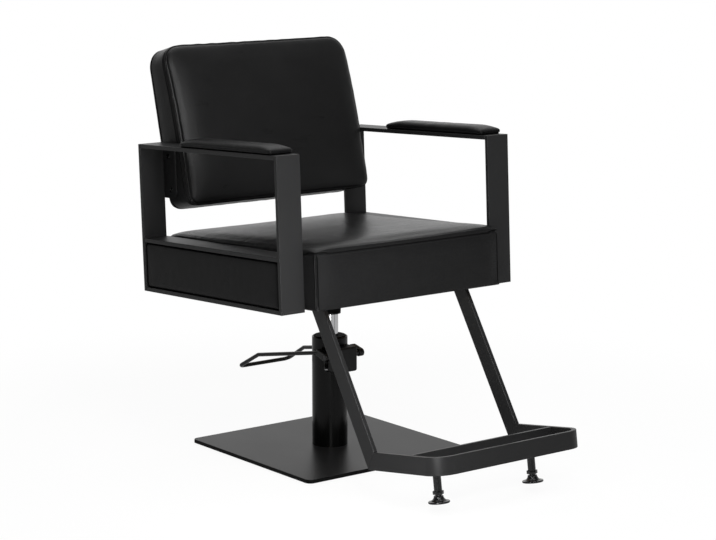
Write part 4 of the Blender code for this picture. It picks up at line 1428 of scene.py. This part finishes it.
    def spring(self) -> None:
        """The plunger's return spring, which shortens as the pedal drives the plunger down."""
        made = Shape.copied("plunger_spring").piece(
            "return_spring", STEEL, "plunger_spring", body=Body.BASE, **SOFT,
        )
        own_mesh(made)

    def build(self) -> None:
        """Make and dress the pump and its pedal."""
        self.block()
        self.pedal()
        self.set_bolt()
        self.spring()


@dataclass
class Seat:
    """The box seat cushion, and the steel plate that carries it."""

    half_w: float = 0.2544
    half_l: float = 0.281
    middle: float = -0.013
    low: float = 0.0073
    height: float = 0.130
    fall: float = 1.1
    seam_drop: float = 0.010
    stitch_drop: float = 0.0055
    corner_seam: float = 0.0065
    corner_low: float = 0.004
    corner_short: float = 0.006
    corner_sink: float = 0.0003
    corner_steps: int = 20
    board_inset: float = 0.016
    board: float = 0.0123
    recess_low: float = -0.05
    plate_edge: float = 0.0008
    bolt_x: float = 0.070
    bolt_y: float = 0.085
    bolt_lift: float = 0.0010
    bolt_top: float = -0.0002
    head_radius: float = 0.0065
    head_low: float = -0.0052
    head_edge: float = 0.0006
    collar_radius: float = 0.0085
    collar_low: float = -0.0014

    def settle(self, point: Vector) -> Vector:
        """Let the top fall to the rear and place a point in the chair."""
        fall = math.tan(math.radians(self.fall)) * (point.y + self.half_l) * point.z / self.height
        return SEAT_FRAME @ Vector((point.x, point.y + self.middle, point.z - fall + self.low))

    def cushion(self) -> None:
        """The cushion with its top seam, its corner seams and its stitching."""
        x, y = self.half_w - self.corner_seam, self.half_l - self.corner_seam
        seam = self.height - self.seam_drop
        seams = [Seam(Run.LEVEL, seam, depth=0.0026, width=0.0030, pull=0.0012, reach=0.010)]
        for run, at in ((Run.ACROSS, -x), (Run.ACROSS, x), (Run.ALONG, -y), (Run.ALONG, y)):
            seams.append(Seam(run, at, depth=0.0016, width=0.0022, pull=0.0035))
        form = Cushion(
            self.half_w, self.half_l, self.height, corner=0.010, roll=0.012, rise=0.0095, foot=0.004,
            crown=0.0055, corner_drop=0.007, seams=tuple(seams), settle=self.settle, seed=3.0, limit=0.0045,
        )
        side, length = self.half_w - self.board_inset + HAIR, self.half_l - self.board_inset + HAIR
        recess = Shape.box((-side, -length, self.recess_low), (side, length, self.board))
        made = form.build(recess).piece("seat_pad", SEAT_HIDE, "seat_cushion", **SOFT)
        row = form.line(seam - self.stitch_drop, STITCH_PITCH)
        stitches(made, row).piece("seat_stitching", THREAD, **SOFT)
        top = form.line(seam, CORD_PITCH)
        lines = cord(made, [*top, top[0]])
        span, last = seam - self.corner_short, self.corner_steps
        steps = [self.corner_low + span * k / last for k in range(last + 1)]
        for u, v in ((x, self.half_l), (self.half_w, y)):
            for sign_x, sign_y in ((-1, -1), (-1, 1), (1, -1), (1, 1)):
                row = [self.settle(Vector((sign_x * u, sign_y * v, step))) for step in steps]
                lines.join(cord(made, row, THIN_CORD, self.corner_sink))
        # The cords are real; their near-black matt finish is painted shade in the seam grooves.
        lines.piece("seat_seams", SHADE_BLACK, **SEWN)

    def mounting(self) -> None:
        """The plate between hub and seat, with its bolts."""
        Shape.copied("mount_plate").ease(self.plate_edge, 2).piece("carrier_plate", SATIN, "mount_plate")
        for side in Side:
            for name, end in (("front", -1), ("rear", 1)):
                bolt = Shape.rod(self.head_radius, self.head_low, self.bolt_top, 6).ease(self.head_edge, 2)
                bolt.join(Shape.rod(self.collar_radius, self.collar_low, self.bolt_top, COARSE))
                spot = (side.value * self.bolt_x, end * self.bolt_y, self.bolt_lift)
                bolt.place(SEAT_FRAME @ Matrix.Translation(spot))
                bolt.piece(f"plate_bolt_{name}_{side.label}", ZINC)

    def build(self) -> None:
        """Make and dress the seat."""
        self.cushion()
        self.mounting()


@dataclass
class Back:
    """The reclined back cushion. Its welts are (place, depth, width) from its front and rear seams."""

    half_w: float = 0.2509
    height: float = 0.362
    thick: float = 0.096
    lean: float = 11.1
    front: float = 0.1612
    low: float = 0.1982
    lumbar: float = 0.33
    taper: float = 0.24
    rise: float = 0.0100
    rear_seam: float = 0.012
    front_welts: tuple[Point, ...] = (
        (-0.0135, 0.0020, 0.0026), (-0.0100, -0.0014, 0.0020), (-0.0050, 0.0007, 0.0026),
        (0.0, -0.0014, 0.0020), (0.0033, 0.0020, 0.0026),
    )
    rear_welts: tuple[Point, ...] = ((0.0, 0.0016, 0.0026), (-0.0035, -0.0006, 0.0020))
    front_stitches: float = -0.0160
    rear_stitches: float = 0.0035

    def settle(self, point: Vector) -> Vector:
        """Thin the cushion towards its top and place a point in the chair.

        Args:
            point: a point in the cushion's frame.

        Returns:
            The point in the chair's frame.
        """
        above = max(0.0, point.y / self.height + 0.5 - self.lumbar) / (1 - self.lumbar)
        local = Vector((point.x, point.y, point.z * (1 - self.taper * above ** 2)))
        frame = SEAT_FRAME @ lean((0, self.front, self.low), self.lean)
        upright = Matrix.Translation((0, self.thick, self.height / 2)) @ Matrix.Rotation(math.pi / 2, 4, "X")
        return frame @ upright @ local

    def build(self) -> None:
        """Make and dress the back."""
        front, rear = self.thick - self.rise, self.rear_seam
        welts = [Seam(Run.LEVEL, front + at, depth, width) for at, depth, width in self.front_welts]
        welts += [Seam(Run.LEVEL, rear + at, depth, width) for at, depth, width in self.rear_welts]
        form = Cushion(
            self.half_w, self.height / 2, self.thick, corner=0.042, low_corner=0.024, roll=0.017,
            rise=self.rise, foot=0.006, crown=0.005, seams=tuple(welts), settle=self.settle, seed=9.0,
            limit=0.0045, draw_in=0.0008,
        )
        made = form.build().piece("back_pad", LEATHER, "back_cushion", **SOFT)
        sewing = stitches(made, form.line(front + self.front_stitches, STITCH_PITCH))
        sewing.join(stitches(made, form.line(rear + self.rear_stitches, STITCH_PITCH)))
        sewing.piece("back_stitching", THREAD, **SOFT)
        lines = Shape()
        for level in (front + self.front_welts[-1][0], front + self.front_welts[0][0], rear):
            row = form.line(level, CORD_PITCH)
            lines.join(cord(made, [*row, row[0]], THIN_CORD))
        # The cords are real; their near-black matt finish is painted shade in the welt grooves.
        lines.piece("back_seams", SHADE_BLACK, **SEWN)


@dataclass
class Arm:
    """One arm frame of flat bar, with its leather panel, pad and back bracket."""

    side: Side
    inner: float = 0.255
    outer: float = 0.315
    front: float = -0.2546
    rear: float = 0.2738
    low: float = 0.003
    top: float = 0.3335
    mid: float = 0.1137
    bar: float = 0.009
    edge: float = 0.0011
    slot_edge: float = 0.0004
    panel_gap: float = 0.0018
    panel_depth: float = 0.0575
    pad_length: float = 0.340
    pad_width: float = 0.060
    pad_height: float = 0.0165
    pad_seam: float = 0.0045
    pad_board: float = 0.0022
    pad_overlap: float = 0.001
    pad_inset: float = 0.003
    pad_setback: float = 0.022
    pad_taper: float = 0.055
    pad_end: float = 0.60
    bracket_edge: float = 0.0006
    screws: tuple[Point, ...] = ((0.2463, 0.302), (0.2386, 0.2276))
    screw_sides: int = 40
    screw_head: tuple[Pair, ...] = (
        (0, 0.0001), (0.0060, 0.0001), (0.0057, 0.0008), (0.0042, 0.0019), (0.0026, 0.0023), (0.0022, 0.0012),
        (0, 0.0012),
    )

    def named(self, part: str) -> str:
        """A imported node's name on this side."""
        return f"{part}_{self.side.label}"

    def bars(self) -> None:
        """The five welded flat bars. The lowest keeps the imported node's slots."""
        x0, x1 = sorted((self.side.value * self.inner, self.side.value * self.outer))
        first, last = self.front + self.bar, self.rear - self.bar
        boxes = {
            "front_post": ((x0, self.front, self.low), (x1, first, self.top)),
            "rear_post": ((x0, last, self.low), (x1, self.rear, self.top)),
        }
        for name, level in (("top_bar", self.top - self.bar), ("mid_bar", self.mid)):
            boxes[name] = ((x0, first + HAIR, level), (x1, last - HAIR, level + self.bar))
        for name, (low, high) in boxes.items():
            label = self.named(name)
            Shape.box(low, high).ease(self.edge).place(SEAT_FRAME).piece(f"flat_{label}", PAINT, label)
        label = self.named("bottom_bar")
        Shape.copied(label).ease(self.slot_edge, 2, 25).piece(f"flat_{label}", PAINT, label)

    def panel(self) -> None:
        """The leather panel between the lower bars."""
        first, last = self.front + self.bar + HAIR, self.rear - self.bar - HAIR
        floor, roof = self.low + self.bar + HAIR, self.mid - self.panel_gap
        place = Matrix.Translation((self.side.value * self.inner, (first + last) / 2, (floor + roof) / 2))
        frame = SEAT_FRAME @ place @ Matrix.Rotation(self.side.value * math.pi / 2, 4, "Y")
        form = Cushion(
            (roof - floor) / 2, (last - first) / 2 - self.panel_gap, self.panel_depth, corner=0.003,
            roll=0.0018, foot=0.0015, crown=0.0010, limit=0.0008, draw_in=0.0, pucker=0.0,
            settle=lambda point: frame @ point,
        )
        label = self.named("side_panel")
        # The panel gets the darker copy of the leather: painted shade.
        made = form.build().piece(f"leather_{label}", SHADED_HIDE, label, **SOFT)

    def pad(self) -> None:
        """The padded arm rest, thinner at its ends, on a near-black board that stands for the shaded gap
        under it.
        """
        half = self.pad_length / 2
        x = self.side.value * (self.inner + self.outer) / 2
        place = Vector((x, self.front + self.pad_setback + half, self.top + HAIR))
        frame = SEAT_FRAME @ Matrix.Translation(place + Vector((0, 0, self.pad_board)))

        def settle(point: Vector) -> Vector:
            """Thin the ends and place a point in the chair."""
            near = max(0.0, abs(point.y) - half + self.pad_taper) / self.pad_taper
            return frame @ Vector((point.x, point.y, point.z * (1 - (1 - self.pad_end) * near ** 2)))

        form = Cushion(
            self.pad_width / 2, half, self.pad_height - self.pad_board, corner=0.005, roll=0.010, rise=0.006,
            foot=0.002, crown=0.0018, cell=0.0045, limit=0.0012, draw_in=0.0, pucker=0.0002, settle=settle,
            seams=(Seam(Run.LEVEL, self.pad_seam, depth=0.0012, width=0.0016),),
        )
        label = self.named("arm_pad")
        # The pad gets the darker copy of the leather: painted shade.
        made = form.build().piece(f"padded_{label}", SHADED_HIDE, label, **SOFT)
        outline = rounded(self.pad_width / 2 - self.pad_inset, half - self.pad_inset, self.pad_inset)
        board = Shape.raised([(u, v, 0) for u, v in outline], (0, 0, self.pad_board + self.pad_overlap))
        # The board is near black: painted shade for the gap under the pad.
        board.place(SEAT_FRAME @ Matrix.Translation(place)).piece(self.named("pad_board"), SHADE_BLACK)

    def bracket(self) -> None:
        """The plate that holds the back, with its two screws."""
        label = self.named("back_bracket")
        Shape.copied(label).ease(self.bracket_edge, 2).piece(f"plate_{label}", PAINT, label)
        turn = Matrix.Rotation(self.side.value * math.pi / 2, 4, "Y")
        face = self.side.value * (self.inner - HAIR)
        for number, (y, z) in enumerate(self.screws, 1):
            head = Shape.turned(self.screw_head, self.screw_sides)
            head.place(SEAT_FRAME @ Matrix.Translation((face, y, z)) @ turn)
            head.piece(self.named(f"bracket_screw_{number}"), GLOSS, flats=False)

    def build(self) -> None:
        """Make and dress the arm."""
        self.bars()
        self.panel()
        self.pad()
        self.bracket()


@dataclass
class Footrest:
    """The footrest of flat bar on edge: two slanted legs, the mitred loop and its cross bar."""

    width: float = 0.038
    thick: float = 0.010
    half_w: float = 0.200
    edge: float = 0.0013
    bar_edge: float = 0.0005
    flange_edge: float = 0.0008
    reach: float = 0.093
    blank: float = 0.2
    corner: float = 0.045
    corner_steps: int = 24

    def mitre(self) -> tuple[Vector, Vector]:
        """The plane where legs and loop meet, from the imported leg's two lowest corners.

        Returns:
            A point of the plane and its normal towards the legs.
        """
        bm = Shape.copied("footrest_bar_right").bm
        spots = sorted({tuple(round(c, 5) for c in v.co) for v in bm.verts}, key=lambda spot: spot[2])
        bm.free()
        lowest = Vector(spots[0])
        others = [Vector(spot) for spot in spots[1:] if abs(spot[0] - lowest.x) < 10 * WELD]
        inner = min(others, key=lambda spot: spot.y)
        normal = Vector((1, 0, 0)).cross((inner - lowest).normalized())
        return lowest, normal if normal.z > 0 else -normal

    def section(self) -> list[Pair]:
        """The bar's section with its eased edges, hung from its top edge."""
        return [(u, v - self.width / 2) for u, v in rounded(self.thick / 2, self.width / 2, self.edge, 3)]

    def loop(self) -> None:
        """The loop with its rounded front corners, cut to the mitre."""
        x, y = self.half_w - self.thick / 2, self.thick / 2 - self.reach
        corners = [Vector(p) for p in ((-x, self.blank, 0), (-x, y, 0), (x, y, 0), (x, self.blank, 0))]
        path = bent(corners, self.corner - self.thick / 2, self.corner_steps)
        point, normal = self.mitre()
        shape = Shape.swept(path, self.section(), UP).place(LOOP_FRAME)
        shape.sliced(point - normal * HAIR, normal).piece("rest_loop", PAINT, "footrest_loop")

    def build(self) -> None:
        """Make and dress the footrest."""
        self.loop()
        bar = Shape.copied("footrest_crossbar").ease(self.bar_edge, 2, 25)
        bar.piece("rest_crossbar", PAINT, "footrest_crossbar")
        for side in Side:
            node = f"footrest_bar_{side.label}"
            Shape.copied(node).ease(self.edge).piece(f"rest_leg_{side.label}", PAINT, node)
            node = f"footrest_flange_{side.label}"
            Shape.copied(node).ease(self.flange_edge, 2).piece(f"rest_flange_{side.label}", PAINT, node)
            Foot(side).build()


@dataclass
class Foot:
    """One levelling foot: boss, threaded stem with its nut, and swivel pad."""

    side: Side
    spread: float = 0.1285
    behind: float = 0.005
    depth: float = -0.098952
    boss_edge: float = 0.0006
    stem_radius: float = 0.00625
    stem_top: float = 0.057952
    stud_radius: float = 0.003
    stud_top: float = 0.086952
    shank_radius: float = 0.0084
    shank_top: float = 0.0503
    edge: float = 0.0008
    pitch: float = 0.00125
    thread: float = 0.0007
    nut_low: float = 0.0085
    nut_top: float = 0.0160
    nut_radius: float = 0.0118
    nut_edge: float = 0.0005
    nut_cover: float = 0.001
    neck_radius: float = 0.0045
    ball_radius: float = 0.006
    pad_radius: float = 0.0225
    pad_low: float = -0.0095
    pad_rim: float = 0.004
    pad_lip: float = 0.0006
    bell_top: float = 0.006
    bell_eye: float = 0.0076
    bell_radius: float = 0.010
    bell_sweep: float = 262.0

    def frame(self) -> Matrix:
        """The foot's frame, with the ball at its origin and the stem along Z."""
        return LOOP_FRAME @ Matrix.Translation((self.side.value * self.spread, self.behind, self.depth))

    def stem(self) -> None:
        """The threaded stem with its stud, nut and ball."""
        stud, radius, shank, edge = self.stud_radius, self.stem_radius, self.shank_radius, self.edge
        profile = [(0, self.stud_top), (stud - edge, self.stud_top), (stud, self.stud_top - edge)]
        profile += [(stud, self.stem_top), (radius - edge, self.stem_top)]
        ridge, root = self.stem_top - edge, radius - self.thread
        while ridge > self.shank_top + self.pitch:
            profile += [(radius, ridge), (root, ridge - self.pitch / 2)]
            ridge -= self.pitch
        top, foot = self.shank_top, self.nut_low + self.nut_cover
        profile += [(root, top), (shank - edge, top), (shank, top - edge), (shank, foot)]
        start = math.degrees(math.acos(self.neck_radius / self.ball_radius))
        profile += [(self.neck_radius, foot), *arc((0, 0), self.ball_radius, start, -90, 14)]
        stem = Shape.turned(profile, ROUND)
        stem.join(Shape.rod(self.nut_radius, self.nut_low, self.nut_top, 6).ease(self.nut_edge, 2))
        label = self.side.label
        stem.place(self.frame()).piece(
            f"levelling_stem_{label}", ZINC, f"foot_stem_{label}", body=Body(f"foot_{label}"), flats=False,
        )

    def pad(self) -> None:
        """The flared pad that turns on the ball."""
        rim, bell, edge, under = self.pad_radius, self.bell_radius, self.edge, self.pad_low
        high, low = self.bell_top - edge, self.pad_rim + under
        scale = (high - low) / (rim - bell)
        profile = arc((0, 0), self.ball_radius + HAIR, -90, 0, 14)
        profile += [(self.bell_eye, self.bell_top), (bell - edge, self.bell_top)]
        profile += [(r, high + z * scale) for r, z in arc((rim, 0), rim - bell, 180, self.bell_sweep, 14)]
        profile += [(rim - self.pad_lip, low), (rim, low - edge), (rim, under + edge)]
        profile += [(rim - edge, under), (0, under)]
        label = self.side.label
        Shape.turned(profile).place(self.frame()).piece(
            f"swivel_pad_{label}", ZINC, f"foot_pad_{label}", body=Body(f"pad_{label}"), flats=False,
        )

    def build(self) -> None:
        """Make and dress the foot."""
        node = f"foot_boss_{self.side.label}"
        Shape.copied(node).ease(self.boss_edge, 2, 60).piece(f"rest_boss_{self.side.label}", PAINT, node)
        self.stem()
        self.pad()


@dataclass(frozen=True)
class Lamp:
    """One soft lamp: its place, the point that it faces, its width and height, and its power in watts."""

    name: str
    place: Point
    aim: Point
    size: Pair
    power: float

    def hang(self) -> None:
        """Make the lamp."""
        data = bpy.data.lights.new(self.name, "AREA")
        data.shape, data.energy = "RECTANGLE", self.power
        data.size, data.size_y = self.size
        made = bpy.data.objects.new(self.name, data)
        made.location = self.place
        made.rotation_euler = (Vector(self.aim) - Vector(self.place)).to_track_quat("-Z", "Y").to_euler()
        bpy.context.scene.collection.objects.link(made)


@dataclass
class Studio:
    """A white room, bright behind the chair and dim behind the camera, and the photograph's viewpoint."""

    place: Point = (-2.950, -3.922, 1.300)
    pitch: float = 10.29
    heading: float = -37.69
    lens: float = 112.3
    sensor: float = 36.0
    far: float = 100.0
    backdrop: float = 1.0
    dim_end: float = 0.12
    rim: Pair = (0.15, 0.95)
    floor_size: float = 30.0
    floor_shade: float = 0.86
    glow: float = 0.93
    glow_near: float = 0.7
    glow_far: float = 1.5
    mirror: float = 0.5
    lamps: tuple[Lamp, ...] = (
        Lamp("key", (-0.6, -1.9, 1.9), (0, -0.1, 0.45), (1.3, 1.3), 46.0),
        Lamp("top", (0.3, 0.7, 3.2), (0, 0, 0.4), (2.4, 2.4), 40.0),
        Lamp("near_strip", (-0.42, -0.72, 0.42), (-0.25, -0.2, 0.42), (0.15, 0.6), 3.2),
        Lamp("right_strip", (0.6, -2.2, 0.55), (0, 0, 0.3), (0.2, 0.8), 1.6),
    )

    def camera(self) -> None:
        """The camera at the photograph's viewing angle."""
        data = bpy.data.cameras.new("camera")
        data.lens, data.sensor_width = self.lens, self.sensor
        data.clip_end = self.far
        made = bpy.data.objects.new("camera", data)
        made.location = self.place
        made.rotation_euler = (math.radians(90 - self.pitch), 0, math.radians(self.heading))
        bpy.context.scene.collection.objects.link(made)
        bpy.context.scene.camera = made

    def seen(self, board: Board, *kinds: str) -> Wire:
        """1 for rays of the kinds named, and 0 for others."""
        rays = [board.wire("ShaderNodeLightPath", output=f"Is {kind} Ray") for kind in kinds]
        return functools.reduce(Wire.most, rays)

    def world(self) -> None:
        """White to look at, and brighter behind the chair than behind the camera to light with."""
        made = bpy.data.worlds.new("studio")
        bpy.context.scene.world = made
        made.use_nodes = True
        board = Board(made.node_tree)
        shader = made.node_tree.nodes["Background"]
        turn = math.radians(-self.heading)
        sockets = {
            0: board.wire("ShaderNodeTexCoord", output="Generated"),
            1: (math.sin(turn), math.cos(turn), 0.0),
        }
        facing = board.vector("DOT_PRODUCT", sockets, "Value")
        lit = self.dim_end + facing.ramp(*self.rim) * (self.backdrop - self.dim_end)
        shader.inputs["Color"].default_value = (1, 1, 1, 1)
        strength = lit.most(self.seen(board, "Camera"))
        made.node_tree.links.new(strength.socket, shader.inputs["Strength"])

    def floor(self) -> None:
        """A pale floor that keeps the chair's shadow."""
        shape, place = Shape(), Matrix.Translation((0, 0, -HAIR))
        bmesh.ops.create_grid(shape.bm, x_segments=1, y_segments=1, size=self.floor_size, matrix=place)
        made = shape.loose()
        made.name = "floor"
        look = bpy.data.materials.new("studio_floor")
        look.use_nodes = True
        board = Board(look.node_tree)
        board.tree.nodes.remove(board.tree.nodes["Principled BSDF"])
        shade = self.floor_shade
        matt = board.wire("ShaderNodeBsdfDiffuse", {"Color": (shade, shade, shade, 1.0)})
        strength = self.mirror + self.seen(board, "Camera") * (1 - self.mirror)
        glow = board.wire("ShaderNodeEmission", {"Color": (1, 1, 1, 1), "Strength": strength})
        away = board.vector("LENGTH", {0: board.place()}, "Value")
        share = self.glow + away.ramp(self.glow_near, self.glow_far) * (1 - self.glow)
        shown = self.seen(board, "Camera", "Glossy", "Transmission")
        mixed = board.wire("ShaderNodeMixShader", {0: shown * share, 1: matt, 2: glow})
        board.tree.links.new(mixed.socket, board.tree.nodes["Material Output"].inputs["Surface"])
        made.data.materials.append(look)

    def build(self) -> None:
        """Set the stage, the light and the camera."""
        self.camera()
        self.world()
        self.floor()
        for lamp in self.lamps:
            lamp.hang()


def main() -> None:
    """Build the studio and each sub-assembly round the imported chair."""
    logging.basicConfig(level=logging.INFO, format="%(name)s: %(message)s")
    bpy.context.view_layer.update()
    bpy.context.scene.view_settings.view_transform = "Standard"
    Studio().build()
    for finish, names in INNER_NODES.items():
        for name in names:
            frame["nodes"][name].material_slots[0].material = finish.material()
    for part in (Base(), Lift(), Pump(), Seat(), Back(), Footrest(), *(Arm(side) for side in Side)):
        part.build()


if __name__ == "__main__":
    main()
